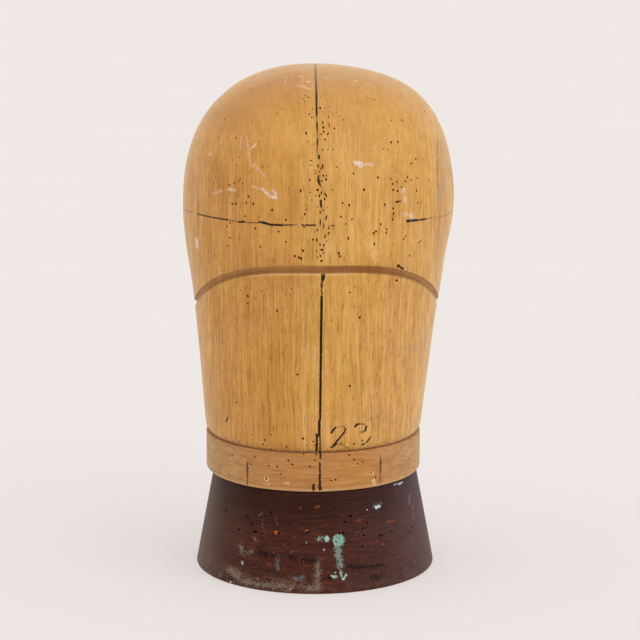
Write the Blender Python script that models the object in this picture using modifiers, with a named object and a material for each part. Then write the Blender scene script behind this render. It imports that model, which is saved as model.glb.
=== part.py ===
"""Wooden millinery head block: a carved head of glued planks on a collar board and a flared foot.

Lengths are in metres and +Z is up. The brow faces -Y, and +X is on the right as the brow is seen.
The origin is on the table, under the middle of the foot.
"""
import math

import bmesh
import bpy
from mathutils import Matrix, Vector

# The foot, a board with a straight flare
FOOT_HEIGHT = 0.0594
FOOT_FLARE = 0.0112
FOOT_EDGE_ROUND = 0.0015

# The collar board, as wide as the neck that it carries
NECK_WIDTH = 0.1324
NECK_DEPTH = 0.1616
NECK_SHIFT = -0.0011
COLLAR_HEIGHT = 0.0236
COLLAR_OVERHANG = 0.0032
COLLAR_EDGE_ROUND = 0.0026

# The head, from the neck up: the cheek, then the widest ring, then the crown
CHEEK_HEIGHT = 0.0777
CHEEK_WIDTH = 0.1490
CHEEK_FRONT_REACH = 0.0912
CHEEK_BACK_REACH = 0.0985
WIDEST_HEIGHT = 0.1427
WIDEST_WIDTH = 0.1668
WIDEST_FRONT_REACH = 0.1015
WIDEST_BACK_REACH = 0.1040
CROWN_HEIGHT = 0.0824
SIDE_FULLNESS = 2.41
FRONT_FULLNESS = 2.45
BACK_FULLNESS = 2.25
HEAD_LEAN = 0.0235
SUMMIT_SHIFT = -0.0046
SUMMIT_EASE = 12
NECK_SKIRT = 0.0060

# The head's planks, glued along upright joints that run front to back. The outer plank is
# measured where the head is widest.
LEFT_JOINT = -0.0083
OUTER_PLANK_THICKNESS = 0.0125

# The tie groove, level over the brow and round the nape, and falling from one to the other. The
# level exponent sets how far it stays level, and the fall exponent how soon it drops after that.
GROOVE_WIDTH = 0.0056
GROOVE_SIDE_HEIGHT = 0.0805
GROOVE_BROW_RISE = 0.0311
GROOVE_NAPE_DROP = 0.0390
GROOVE_LEVEL = 3.52
GROOVE_FALL = 0.865
GROOVE_TURN = math.radians(1.5)
PLANK_END_TURN = math.radians(17.5)

# The dowels between the collar and the head
DOWEL_DIAMETER = 0.0100
DOWEL_LENGTH = 0.0360
DOWEL_CHAMFER = 0.0008
DOWEL_INSET = 0.0320
WOOD_UNDER_DOWEL = 0.0090

# The screws, driven up through the foot and the collar into the head
SCREW_HEAD_DIAMETER = 0.0120
SCREW_SHANK_DIAMETER = 0.0060
SCREW_BITE = 0.0186
SCREW_POINT = 0.0060
SCREW_SLOT_WIDTH = 0.0014
SCREW_SLOT_DEPTH = 0.0016
SCREW_HEAD_RIM = 0.0005
SCREW_INSET = 0.0160
SCREW_PLAN_ANGLE = math.radians(42.0)
SCREW_SINK = 0.0008

# The thickness of a glued joint, and the clearance round a screw or a dowel
JOINT_GAP = 0.0003
FIT_GAP = 0.0003

# How finely the round shapes are cut
HEAD_SIDES = 64
LOWER_RINGS = 11
CROWN_RINGS = 12
GROOVE_STEPS = 96
BOARD_SIDES = 72
SCREW_SIDES = 16
DOWEL_SIDES = 20

# Heights that follow from the sizes above
COLLAR_BOTTOM = FOOT_HEIGHT + JOINT_GAP
COLLAR_TOP = COLLAR_BOTTOM + COLLAR_HEIGHT
NECK_PLANE = COLLAR_TOP + JOINT_GAP
OVAL = NECK_DEPTH / NECK_WIDTH
RIGHT_JOINT = NECK_SHIFT + HEAD_LEAN * WIDEST_HEIGHT + WIDEST_WIDTH / 2.0 - OUTER_PLANK_THICKNESS
SCREW_TIP = NECK_PLANE + SCREW_BITE
FAR = NECK_DEPTH + CROWN_HEIGHT + WIDEST_HEIGHT


def clear_scene():
    for old in list(bpy.data.objects):
        bpy.data.objects.remove(old, do_unlink=True)


def new_collection(name):
    collection = bpy.data.collections.new(name)
    bpy.context.scene.collection.children.link(collection)
    return collection


def new_material(name, colour, roughness, metallic=0.0):
    material = bpy.data.materials.new(name)
    material.use_nodes = True
    shader = material.node_tree.nodes["Principled BSDF"]
    shader.inputs["Base Color"].default_value = (*colour, 1.0)
    shader.inputs["Roughness"].default_value = roughness
    shader.inputs["Metallic"].default_value = metallic
    material.diffuse_color = (*colour, 1.0)
    return material


def new_object(name, mesh, collection, material=None):
    piece = bpy.data.objects.new(name, mesh)
    collection.objects.link(piece)
    if material:
        piece.data.materials.append(material)
    return piece


def mesh_from(name, shape):
    mesh = bpy.data.meshes.new(name)
    shape.to_mesh(mesh)
    shape.free()
    return mesh


def hide_cutter(cutter):
    cutter.hide_render = True
    cutter.display_type = "WIRE"
    return cutter


def evaluated_mesh(piece, name):
    """The piece's mesh with its modifiers or its curve settings worked in."""
    bpy.context.view_layer.update()
    evaluated = piece.evaluated_get(bpy.context.evaluated_depsgraph_get())
    mesh = bpy.data.meshes.new_from_object(evaluated)
    mesh.name = name
    return mesh


def add_boolean(piece, cutter, operation="DIFFERENCE"):
    cut = piece.modifiers.new(cutter.name, "BOOLEAN")
    cut.operation = operation
    cut.solver = "EXACT"
    cut.object = cutter


def add_bevel(piece, width, segments, corner):
    bevel = piece.modifiers.new("rounded edges", "BEVEL")
    bevel.width = width
    bevel.segments = segments
    bevel.limit_method = "ANGLE"
    bevel.angle_limit = math.radians(corner)


def settle(piece, corner=35.0):
    """Works a piece's modifiers into its mesh, and shades it smooth but for its corners."""
    materials = list(piece.data.materials)
    mesh = evaluated_mesh(piece, piece.name)
    piece.modifiers.clear()
    piece.data = mesh
    mesh.materials.clear()
    for material in materials:
        mesh.materials.append(material)
    mesh.shade_smooth()
    mesh.set_sharp_from_angle(angle=math.radians(corner))
    return piece


def cylinder_mesh(name, diameter, bottom, top, sides, top_diameter=None):
    """An upright cylinder or cone between two heights."""
    shape = bmesh.new()
    end = diameter if top_diameter is None else top_diameter
    middle = Matrix.Translation((0.0, 0.0, (bottom + top) / 2.0))
    bmesh.ops.create_cone(shape, cap_ends=True, segments=sides, radius1=diameter / 2.0,
                          radius2=end / 2.0, depth=top - bottom, matrix=middle)
    return mesh_from(name, shape)


def oval_board(name, bottom_width, top_width, bottom, top, collection, material):
    """A board with an oval outline, with the depth of the neck's oval for its width."""
    mesh = cylinder_mesh(name, bottom_width, bottom, top, BOARD_SIDES, top_width)
    mesh.transform(Matrix.Diagonal((1.0, OVAL, 1.0, 1.0)))
    return new_object(name, mesh, collection, material)


def eased(height, neck, cheek, widest):
    """A half size of the head between the neck and the widest ring, on one smooth curve."""
    cheek_slope = (widest - neck) / WIDEST_HEIGHT
    if height < CHEEK_HEIGHT:
        low, high, span = neck, cheek, CHEEK_HEIGHT
        low_slope, high_slope = (cheek - neck) / CHEEK_HEIGHT, cheek_slope
        t = height / span
    else:
        low, high, span = cheek, widest, WIDEST_HEIGHT - CHEEK_HEIGHT
        low_slope, high_slope = cheek_slope, 0.0
        t = (height - CHEEK_HEIGHT) / span
    return (low * (2 * t ** 3 - 3 * t ** 2 + 1) + high * (3 * t ** 2 - 2 * t ** 3)
            + low_slope * span * (t ** 3 - 2 * t ** 2 + t) + high_slope * span * (t ** 3 - t ** 2))


def reach(height, neck, cheek, widest, fullness):
    """A half size of the head at a height over the neck, up to the crown."""
    if height <= WIDEST_HEIGHT:
        return eased(height, neck, cheek, widest)
    rise = min((height - WIDEST_HEIGHT) / CROWN_HEIGHT, 1.0)
    return widest * (1.0 - rise ** fullness) ** (1.0 / fullness)


def head_point(height, angle):
    """A point of the upright head: its height over the neck, and its angle round the oval."""
    side = reach(height, NECK_WIDTH / 2, CHEEK_WIDTH / 2, WIDEST_WIDTH / 2, SIDE_FULLNESS)
    if math.sin(angle) < 0.0:
        depth = reach(height, NECK_DEPTH / 2, CHEEK_FRONT_REACH, WIDEST_FRONT_REACH, FRONT_FULLNESS)
    else:
        depth = reach(height, NECK_DEPTH / 2, CHEEK_BACK_REACH, WIDEST_BACK_REACH, BACK_FULLNESS)
    shift = SUMMIT_SHIFT * max(height - WIDEST_HEIGHT, 0.0) ** SUMMIT_EASE / CROWN_HEIGHT ** SUMMIT_EASE
    return Vector((shift + side * math.cos(angle), depth * math.sin(angle), height))


def head_place():
    """From the upright head to its place: on the collar, leaning a little to the right."""
    return Matrix.Translation((NECK_SHIFT, 0.0, NECK_PLANE)) @ Matrix.Shear("XY", 4, (HEAD_LEAN, 0.0))


def ring_heights():
    lower = [-NECK_SKIRT + (WIDEST_HEIGHT + NECK_SKIRT) * step / LOWER_RINGS for step in range(LOWER_RINGS)]
    crown = []
    for step in range(CROWN_RINGS):
        turn = math.radians(90.0) * step / CROWN_RINGS
        crown.append(WIDEST_HEIGHT + CROWN_HEIGHT * math.sin(turn) ** (2.0 / SIDE_FULLNESS))
    return lower + crown


def build_head_form(collection):
    """The whole head before it is cut: oval rings of unlike front and back, joined up to the crown."""
    shape = bmesh.new()
    rings = []
    for height in ring_heights():
        angles = [math.tau * side / HEAD_SIDES for side in range(HEAD_SIDES)]
        rings.append([shape.verts.new(head_point(height, angle)) for angle in angles])
    shape.faces.new(list(reversed(rings[0])))
    for lower, upper in zip(rings, rings[1:]):
        for side in range(HEAD_SIDES):
            after = (side + 1) % HEAD_SIDES
            shape.faces.new((lower[side], lower[after], upper[after], upper[side]))
    top = shape.verts.new((SUMMIT_SHIFT, 0.0, WIDEST_HEIGHT + CROWN_HEIGHT))
    for side in range(HEAD_SIDES):
        shape.faces.new((rings[-1][side], rings[-1][(side + 1) % HEAD_SIDES], top))
    shape.transform(head_place())
    cut = bmesh.ops.bisect_plane(shape, geom=shape.verts[:] + shape.edges[:] + shape.faces[:],
                                 plane_co=(0.0, 0.0, NECK_PLANE), plane_no=(0.0, 0.0, -1.0),
                                 clear_outer=True)
    rim = [item for item in cut["geom_cut"] if isinstance(item, bmesh.types.BMEdge)]
    bmesh.ops.edgeloop_fill(shape, edges=rim)
    bmesh.ops.recalc_face_normals(shape, faces=shape.faces[:])
    return new_object("head_form", mesh_from("head_form", shape), collection)


def groove_height(angle):
    """Height of the tie groove over the neck, at an angle round the head."""
    aside = abs(math.cos(angle - GROOVE_TURN))
    share = (1.0 - aside ** GROOVE_LEVEL) ** GROOVE_FALL
    if math.sin(angle - GROOVE_TURN) < 0.0:
        return GROOVE_SIDE_HEIGHT + GROOVE_BROW_RISE * share
    return GROOVE_SIDE_HEIGHT - GROOVE_NAPE_DROP * share


def build_groove_cutter(collection):
    """A closed cord line lying in the head's surface, as thick as the groove is wide."""
    curve = bpy.data.curves.new("tie_groove_cutter", "CURVE")
    curve.dimensions = "3D"
    curve.bevel_depth = GROOVE_WIDTH / 2.0
    curve.bevel_resolution = 2
    line = curve.splines.new("POLY")
    line.points.add(GROOVE_STEPS - 1)
    place = head_place()
    for step, point in enumerate(line.points):
        angle = math.tau * step / GROOVE_STEPS
        point.co = (*(place @ head_point(groove_height(angle), angle)), 1.0)
    line.use_cyclic_u = True
    path = new_object("tie_groove_path", curve, collection)
    cutter = new_object("tie_groove_cutter", evaluated_mesh(path, "tie_groove_cutter"), collection)
    bpy.data.objects.remove(path, do_unlink=True)
    return hide_cutter(cutter)


def screw_places():
    """The screws' names and their places in the plan of the foot."""
    across = (NECK_WIDTH / 2.0 - SCREW_INSET) * math.cos(SCREW_PLAN_ANGLE)
    along = (NECK_DEPTH / 2.0 - SCREW_INSET) * math.sin(SCREW_PLAN_ANGLE)
    places = {}
    for end, end_sign in (("front", -1.0), ("back", 1.0)):
        for side, side_sign in (("left", -1.0), ("right", 1.0)):
            places[f"{end}_{side}"] = (NECK_SHIFT + side_sign * across, end_sign * along)
    return places


def dowel_places():
    offset = NECK_WIDTH / 2.0 - DOWEL_INSET
    return {"left": (NECK_SHIFT - offset, 0.0), "right": (NECK_SHIFT + offset, 0.0)}


def round_cutter(name, place, diameter, bottom, top, collection, sides, top_diameter=None):
    mesh = cylinder_mesh(name, diameter, bottom, top, sides, top_diameter)
    cutter = new_object(name, mesh, collection)
    cutter.location = (*place, 0.0)
    return hide_cutter(cutter)


def build_screw_cutters(collection):
    """For each screw: a countersunk seat for its head in the foot, and a bore for the rest."""
    bores = {}
    shank = SCREW_SHANK_DIAMETER + 2.0 * FIT_GAP
    head = SCREW_HEAD_DIAMETER + 2.0 * FIT_GAP
    seat_rim = SCREW_SINK + SCREW_HEAD_RIM
    seat_end = seat_rim + (head - shank) / 2.0
    for name, place in screw_places().items():
        rim_cutter = round_cutter(f"rim_{name}", place, head, -SCREW_SINK, seat_rim,
                                  collection, SCREW_SIDES)
        seat_cutter = round_cutter(f"seat_{name}", place, head, seat_rim, seat_end,
                                   collection, SCREW_SIDES, shank)
        shank_cutter = round_cutter(f"shank_{name}", place, shank, seat_rim, SCREW_TIP + FIT_GAP,
                                    collection, SCREW_SIDES)
        bores[name] = {"foot": (rim_cutter, seat_cutter, shank_cutter), "above": shank_cutter}
    return bores


def dowel_span():
    bottom = COLLAR_BOTTOM + WOOD_UNDER_DOWEL
    return bottom, bottom + DOWEL_LENGTH


def build_dowel_cutters(collection):
    bottom, top = dowel_span()
    bore = DOWEL_DIAMETER + 2.0 * FIT_GAP
    return [round_cutter(f"bore_{name}", place, bore, bottom - FIT_GAP, top + FIT_GAP,
                         collection, DOWEL_SIDES)
            for name, place in dowel_places().items()]


def build_foot(collection, material, bores):
    """The foot: an oval board flared towards the table, countersunk for the screws."""
    top_width = NECK_WIDTH - 2.0 * COLLAR_OVERHANG
    foot = oval_board("base_foot", top_width + 2.0 * FOOT_FLARE, top_width, 0.0, FOOT_HEIGHT,
                      collection, material)
    add_bevel(foot, FOOT_EDGE_ROUND, 2, 40.0)
    for bore in bores.values():
        for cutter in bore["foot"]:
            add_boolean(foot, cutter)
    return settle(foot)


def build_collar(collection, material, bores, dowel_cutters):
    """The collar: an oval board that stands out over the foot, with its lower edge rounded over."""
    collar = oval_board("collar_board", NECK_WIDTH, NECK_WIDTH, COLLAR_BOTTOM, COLLAR_TOP,
                        collection, material)
    weights = collar.data.attributes.new("bevel_weight_edge", "FLOAT", "EDGE")
    middle = (COLLAR_BOTTOM + COLLAR_TOP) / 2.0
    for edge in collar.data.edges:
        ends = [collar.data.vertices[index].co.z for index in edge.vertices]
        weights.data[edge.index].value = 1.0 if max(ends) < middle else 0.0
    bevel = collar.modifiers.new("rounded lower edge", "BEVEL")
    bevel.width = COLLAR_EDGE_ROUND
    bevel.segments = 3
    bevel.limit_method = "WEIGHT"
    collar.data.transform(Matrix.Translation((NECK_SHIFT, 0.0, 0.0)))
    for bore in bores.values():
        add_boolean(collar, bore["above"])
    for cutter in dowel_cutters:
        add_boolean(collar, cutter)
    return settle(collar)


def box_cutter(name, low, high, collection):
    shape = bmesh.new()
    bmesh.ops.create_cube(shape, size=1.0)
    size = Vector(high) - Vector(low)
    centre = (Vector(high) + Vector(low)) / 2.0
    shape.transform(Matrix.Translation(centre) @ Matrix.Diagonal((*size, 1.0)))
    return hide_cutter(new_object(name, mesh_from(name, shape), collection))


def cheek_cutter(name, inset, collection):
    """The room of the outer plank: right of its joint, and down to the groove that ends it."""
    cutter = box_cutter(name, (RIGHT_JOINT + inset, -FAR, inset), (RIGHT_JOINT + FAR, FAR, FAR),
                        collection)
    drop = groove_height(GROOVE_TURN - PLANK_END_TURN) - groove_height(GROOVE_TURN + PLANK_END_TURN)
    length = (CHEEK_FRONT_REACH + CHEEK_BACK_REACH) * math.sin(PLANK_END_TURN)
    turn = Matrix.Rotation(-math.atan(drop / length), 4, "X")
    lift = Matrix.Translation((0.0, 0.0, NECK_PLANE + GROOVE_SIDE_HEIGHT))
    cutter.data.transform(lift @ turn)
    return cutter


def build_head(collection, cutters, woods, bores, dowel_cutters):
    """The head's three planks, cut from one form so that they carry the same carving."""
    form = build_head_form(cutters)
    add_boolean(form, build_groove_cutter(cutters))
    for bore in bores.values():
        add_boolean(form, bore["above"])
    for cutter in dowel_cutters:
        add_boolean(form, cutter)
    settle(form)
    half_gap = JOINT_GAP / 2.0
    left_side = box_cutter("left_side", (-FAR, -FAR, -FAR), (LEFT_JOINT - half_gap, FAR, FAR), cutters)
    left_room = box_cutter("left_room", (-FAR, -FAR, -FAR), (LEFT_JOINT + half_gap, FAR, FAR), cutters)
    right_side = cheek_cutter("right_side", half_gap, cutters)
    right_room = cheek_cutter("right_room", -half_gap, cutters)
    cuts = {"head_plank_left": ((left_side, "INTERSECT"),),
            "head_plank_centre": ((left_room, "DIFFERENCE"), (right_room, "DIFFERENCE")),
            "head_plank_right": ((right_side, "INTERSECT"),)}
    for name, steps in cuts.items():
        plank = new_object(name, form.data.copy(), collection, woods[name])
        for cutter, operation in steps:
            add_boolean(plank, cutter, operation)
        settle(plank)
    bpy.data.objects.remove(form, do_unlink=True)


def build_dowels(collection, material):
    bottom, top = dowel_span()
    for name, place in dowel_places().items():
        mesh = cylinder_mesh(f"collar_dowel_{name}", DOWEL_DIAMETER, bottom, top, DOWEL_SIDES)
        dowel = new_object(f"collar_dowel_{name}", mesh, collection, material)
        dowel.location = (*place, 0.0)
        add_bevel(dowel, DOWEL_CHAMFER, 1, 60.0)
        settle(dowel)


def build_screws(collection, cutters, material):
    """Slotted countersunk wood screws: a turned profile, with a slot across the head."""
    head = SCREW_HEAD_DIAMETER / 2.0
    shank = SCREW_SHANK_DIAMETER / 2.0
    rim = SCREW_SINK + SCREW_HEAD_RIM
    profile = ((0.0, SCREW_TIP), (shank, SCREW_TIP - SCREW_POINT), (shank, rim + head - shank),
               (head, rim), (head, SCREW_SINK), (0.0, SCREW_SINK))
    for name, place in screw_places().items():
        shape = bmesh.new()
        points = [shape.verts.new((radius, 0.0, height)) for radius, height in profile]
        for start, end in zip(points, points[1:]):
            shape.edges.new((start, end))
        mesh = mesh_from(f"base_screw_{name}", shape)
        screw = new_object(f"base_screw_{name}", mesh, collection, material)
        screw.location = (*place, 0.0)
        turning = screw.modifiers.new("turned profile", "SCREW")
        turning.steps = SCREW_SIDES
        turning.render_steps = SCREW_SIDES
        turning.use_merge_vertices = True
        turning.merge_threshold = 0.00001
        low = (-SCREW_HEAD_DIAMETER, -SCREW_SLOT_WIDTH / 2.0, 0.0)
        high = (SCREW_HEAD_DIAMETER, SCREW_SLOT_WIDTH / 2.0, SCREW_SINK + SCREW_SLOT_DEPTH)
        slot = box_cutter(f"slot_{name}", low, high, cutters)
        slot.location = (*place, 0.0)
        add_boolean(screw, slot)
        settle(screw)


def main():
    clear_scene()
    parts = new_collection("millinery_head_block")
    cutters = new_collection("cutters")
    bores = build_screw_cutters(cutters)
    dowel_cutters = build_dowel_cutters(cutters)
    head_woods = {"head_plank_left": new_material("waxed head wood, left", (0.55, 0.29, 0.10), 0.45),
                  "head_plank_centre": new_material("waxed head wood, centre", (0.62, 0.34, 0.12), 0.45),
                  "head_plank_right": new_material("waxed head wood, right", (0.60, 0.32, 0.13), 0.45)}
    collar_wood = new_material("crosswise collar wood", (0.42, 0.21, 0.08), 0.5)
    build_foot(parts, new_material("dark-stained foot wood", (0.07, 0.025, 0.018), 0.5), bores)
    build_collar(parts, collar_wood, bores, dowel_cutters)
    build_head(parts, cutters, head_woods, bores, dowel_cutters)
    build_dowels(parts, new_material("beech dowel", (0.62, 0.42, 0.24), 0.6))
    build_screws(parts, cutters, new_material("steel screw", (0.45, 0.45, 0.46), 0.35, 1.0))


main()
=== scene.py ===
"""Looks of an old wooden millinery head block: a head of glued planks, a collar board and a dark foot."""

import math
import random

import bmesh
import bpy
from mathutils import Matrix, Vector
from mathutils.kdtree import KDTree


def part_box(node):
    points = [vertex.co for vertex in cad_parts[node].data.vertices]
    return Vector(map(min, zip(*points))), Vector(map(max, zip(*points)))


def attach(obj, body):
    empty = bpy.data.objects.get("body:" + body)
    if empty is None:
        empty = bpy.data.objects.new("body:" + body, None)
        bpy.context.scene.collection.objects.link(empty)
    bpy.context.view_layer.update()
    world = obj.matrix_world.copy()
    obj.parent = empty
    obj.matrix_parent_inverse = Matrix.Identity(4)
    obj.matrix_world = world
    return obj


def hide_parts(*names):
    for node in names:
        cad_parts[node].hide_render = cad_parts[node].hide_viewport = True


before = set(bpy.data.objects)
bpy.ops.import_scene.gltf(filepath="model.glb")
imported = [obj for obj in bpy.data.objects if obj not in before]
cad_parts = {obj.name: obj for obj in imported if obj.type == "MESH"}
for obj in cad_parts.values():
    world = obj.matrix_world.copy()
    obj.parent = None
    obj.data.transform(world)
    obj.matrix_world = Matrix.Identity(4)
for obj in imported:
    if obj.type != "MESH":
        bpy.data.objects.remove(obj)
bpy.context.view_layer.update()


# The camera stands a little above the block and looks down on it, as in the photograph. It comes
# first, because the marks are put where the photograph's pixels fall on the wood.
PHOTO_SIDE = 640
PHOTO_FOCAL = 2619.0
SENSOR_WIDTH = 36.0
CAMERA_PLACE = Vector((0.0032, -1.600, 0.394))
CAMERA_DOWN = math.radians(8.64)

camera_lens = bpy.data.cameras.new("photo_camera")
camera_lens.sensor_width = SENSOR_WIDTH
camera_lens.lens = SENSOR_WIDTH * PHOTO_FOCAL / PHOTO_SIDE
camera = bpy.data.objects.new("photo_camera", camera_lens)
camera.location = CAMERA_PLACE
camera.rotation_euler = (math.radians(90.0) - CAMERA_DOWN, 0.0, 0.0)
bpy.context.scene.collection.objects.link(camera)
bpy.context.scene.camera = camera


def seen(piece, across, down):
    """Where the photograph's pixel falls on a piece, and the way that its surface faces there."""
    pixel = Vector((across - PHOTO_SIDE / 2.0, PHOTO_SIDE / 2.0 - down, -PHOTO_FOCAL))
    sight = (camera.matrix_world.to_3x3() @ pixel).normalized()
    hit, point, facing, _ = piece.ray_cast(CAMERA_PLACE, sight)
    if not hit:
        raise ValueError(f"pixel {across}, {down} misses {piece.name}")
    return point, facing


# The head is carved from one glued-up block, so it is shaped whole: oval rings stacked from the
# neck to the crown, deeper behind than in front, leaning a little, then smoothed and worn uneven.
NECK_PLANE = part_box("head_plank_left")[0].z
COLLAR_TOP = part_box("collar_board")[1].z
SEAT_GAP = 0.00006
CROWN_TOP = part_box("head_plank_centre")[1].z
NECK_X = -0.0011
NECK_WIDTH = 0.1324
NECK_DEPTH = 0.1638
CHEEK_HEIGHT = 0.0777
CHEEK_WIDTH = 0.1490
CHEEK_FRONT = 0.0912
CHEEK_BACK = 0.0985
WIDEST_HEIGHT = 0.1427
WIDEST_WIDTH = 0.1668
WIDEST_FRONT = 0.1015
WIDEST_BACK = 0.1040
SMOOTHED_AWAY = 0.00015
CROWN_HEIGHT = CROWN_TOP + SMOOTHED_AWAY - NECK_PLANE - WIDEST_HEIGHT
SIDE_FULLNESS = 2.41
FRONT_FULLNESS = 2.45
BACK_FULLNESS = 2.25
LEAN = 0.0235
SUMMIT_SHIFT = -0.0046
SUMMIT_EASE = 12
RIGHT_FLATS = ((0.112, 0.0013), (0.170, 0.0011), (0.190, 0.0007))
SUMMIT_NARROWING = 0.075
SUMMIT_RISE = 0.975
SUMMIT_SPREAD = 0.045
FLAT_SPREAD = 0.012
SKIRT = 0.0060
HEAD_SIDES = 64
LOWER_RINGS = 12
CROWN_RINGS = 12
UNEVENNESS = 0.0007
UNEVEN_SIZE = 0.035
LEVEL_TOLERANCE = 0.00005


def eased(height, neck, cheek, widest):
    """A half size of the head between the neck and the widest ring, on one smooth curve."""
    cheek_slope = (widest - neck) / WIDEST_HEIGHT
    if height < CHEEK_HEIGHT:
        low, high, span = neck, cheek, CHEEK_HEIGHT
        low_slope, high_slope = (cheek - neck) / CHEEK_HEIGHT, cheek_slope
        t = height / span
    else:
        low, high, span = cheek, widest, WIDEST_HEIGHT - CHEEK_HEIGHT
        low_slope, high_slope = cheek_slope, 0.0
        t = (height - CHEEK_HEIGHT) / span
    return (low * (2 * t ** 3 - 3 * t ** 2 + 1) + high * (3 * t ** 2 - 2 * t ** 3)
            + low_slope * span * (t ** 3 - 2 * t ** 2 + t) + high_slope * span * (t ** 3 - t ** 2))


def reach(height, neck, cheek, widest, fullness):
    """A half size of the head at a height over the neck, up to the crown."""
    if height <= WIDEST_HEIGHT:
        return eased(height, neck, cheek, widest)
    rise = min((height - WIDEST_HEIGHT) / CROWN_HEIGHT, 1.0)
    narrowing = SUMMIT_NARROWING * math.exp(-((rise - SUMMIT_RISE) / SUMMIT_SPREAD) ** 2)
    return widest * (1.0 - narrowing) * (1.0 - rise ** fullness) ** (1.0 / fullness)


def ring_sizes(height):
    """The head's reach to the left, right, front and back of its middle, and the middle, at a height."""
    left = reach(height, NECK_WIDTH / 2, CHEEK_WIDTH / 2, WIDEST_WIDTH / 2, SIDE_FULLNESS)
    right = left
    if left > FLAT_SPREAD:
        for flat_height, flat_depth in RIGHT_FLATS:
            right -= flat_depth * math.exp(-((height - flat_height) / FLAT_SPREAD) ** 2)
    front = reach(height, NECK_DEPTH / 2, CHEEK_FRONT, WIDEST_FRONT, FRONT_FULLNESS)
    back = reach(height, NECK_DEPTH / 2, CHEEK_BACK, WIDEST_BACK, BACK_FULLNESS)
    rise = max(height - WIDEST_HEIGHT, 0.0) / CROWN_HEIGHT
    return left, right, front, back, NECK_X + LEAN * height + SUMMIT_SHIFT * rise ** SUMMIT_EASE


def select_only(piece):
    """Makes the piece the one that is selected and active."""
    bpy.ops.object.select_all(action="DESELECT")
    piece.select_set(True)
    bpy.context.view_layer.objects.active = piece


def select_points(piece, wanted):
    """In edit mode, selects the points whose places the given test accepts."""
    shape = bmesh.from_edit_mesh(piece.data)
    for point in shape.verts:
        point.select = wanted(point.co)
    shape.select_flush_mode()
    bmesh.update_edit_mesh(piece.data)


def finish_modifiers(piece):
    """Applies the piece's modifiers in order."""
    select_only(piece)
    for modifier in list(piece.modifiers):
        bpy.ops.object.modifier_apply(modifier=modifier.name)


def smooth_modifier(piece, levels):
    """Lets the piece be rounded out that many times over."""
    smoothing = piece.modifiers.new("smoothing", "SUBSURF")
    smoothing.levels = levels
    smoothing.render_levels = levels


def stretch_ring(piece, centre, old, new):
    """Resizes the four quarters of the ring at the centre's height to their new reach."""
    quarters = (
        (old[0], new[0], "x", lambda place: place.x < centre[0]),
        (old[1], new[1], "x", lambda place: place.x > centre[0]),
        (old[2], new[2], "y", lambda place: place.y < 0.0),
        (old[3], new[3], "y", lambda place: place.y > 0.0),
    )
    for old_reach, new_reach, axis, in_quarter in quarters:
        select_points(piece, lambda place: abs(place.z - centre[2]) < LEVEL_TOLERANCE and in_quarter(place))
        ratio = new_reach / old_reach
        value = (ratio, 1.0, 1.0) if axis == "x" else (1.0, ratio, 1.0)
        bpy.ops.transform.resize(value=value, center_override=centre)


def start_shape(name, sides, radius, place, fill="NGON"):
    """Starts a shape to extrude: a level ring of points, selected in edit mode."""
    bpy.ops.object.select_all(action="DESELECT")
    bpy.ops.mesh.primitive_circle_add(vertices=sides, radius=radius, location=place, fill_type=fill)
    piece = bpy.context.object
    piece.name = name
    bpy.ops.object.transform_apply(location=True, rotation=True, scale=True)
    bpy.ops.object.mode_set(mode="EDIT")
    bpy.ops.mesh.select_all(action="SELECT")
    return piece


def extrude(move):
    """Extrudes what is selected, by the given move."""
    bpy.ops.mesh.extrude_region_move(TRANSFORM_OT_translate={"value": move})


def close_shape(piece):
    """Ends the extruding of a piece: faces turned outwards, and in an order that is the same each run."""
    bpy.ops.mesh.select_all(action="SELECT")
    bpy.ops.mesh.normals_make_consistent(inside=False)
    bpy.ops.object.mode_set(mode="OBJECT")
    points = [point.co.copy() for point in piece.data.vertices]
    faces = []
    for face in piece.data.polygons:
        corners = list(face.vertices)
        first = corners.index(min(corners))
        faces.append(corners[first:] + corners[:first])
    piece.data.clear_geometry()
    piece.data.from_pydata(points, [], sorted(faces))


def carve_head():
    """Extrudes the head ring by ring, from under the neck to the crown."""
    heights = [-SKIRT + (WIDEST_HEIGHT + SKIRT) * step / LOWER_RINGS for step in range(LOWER_RINGS)]
    for step in range(CROWN_RINGS):
        turn = math.radians(90.0) * step / CROWN_RINGS
        heights.append(WIDEST_HEIGHT + CROWN_HEIGHT * math.sin(turn) ** (2.0 / SIDE_FULLNESS))
    *sizes, middle = ring_sizes(heights[0])
    centre = (middle, 0.0, NECK_PLANE + heights[0])
    head = start_shape("carved_head", HEAD_SIDES, sizes[0], centre, "NOTHING")
    stretch_ring(head, centre, (sizes[0],) * 4, sizes)
    for below, height in zip(heights, heights[1:] + [WIDEST_HEIGHT + CROWN_HEIGHT]):
        level = NECK_PLANE + below
        select_points(head, lambda place: abs(place.z - level) < LEVEL_TOLERANCE)
        *old_sizes, old_middle = ring_sizes(below)
        *sizes, middle = ring_sizes(height)
        extrude((middle - old_middle, 0.0, height - below))
        if sizes[0] == 0.0:
            bpy.ops.mesh.merge(type="CENTER")
            break
        stretch_ring(head, (middle, 0.0, NECK_PLANE + height), old_sizes, sizes)
    select_points(head, lambda place: place.z < NECK_PLANE + heights[0] + LEVEL_TOLERANCE)
    bpy.ops.mesh.edge_face_add()
    close_shape(head)
    return head


def wear_uneven(piece, texture_name, size, strength):
    """Moves the surface in and out a little, as planing and sanding by hand leave it."""
    unevenness = bpy.data.textures.new(texture_name, "CLOUDS")
    unevenness.noise_scale = size
    wear = piece.modifiers.new("wear", "DISPLACE")
    wear.texture = unevenness
    wear.texture_coords = "LOCAL"
    wear.strength = strength


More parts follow.
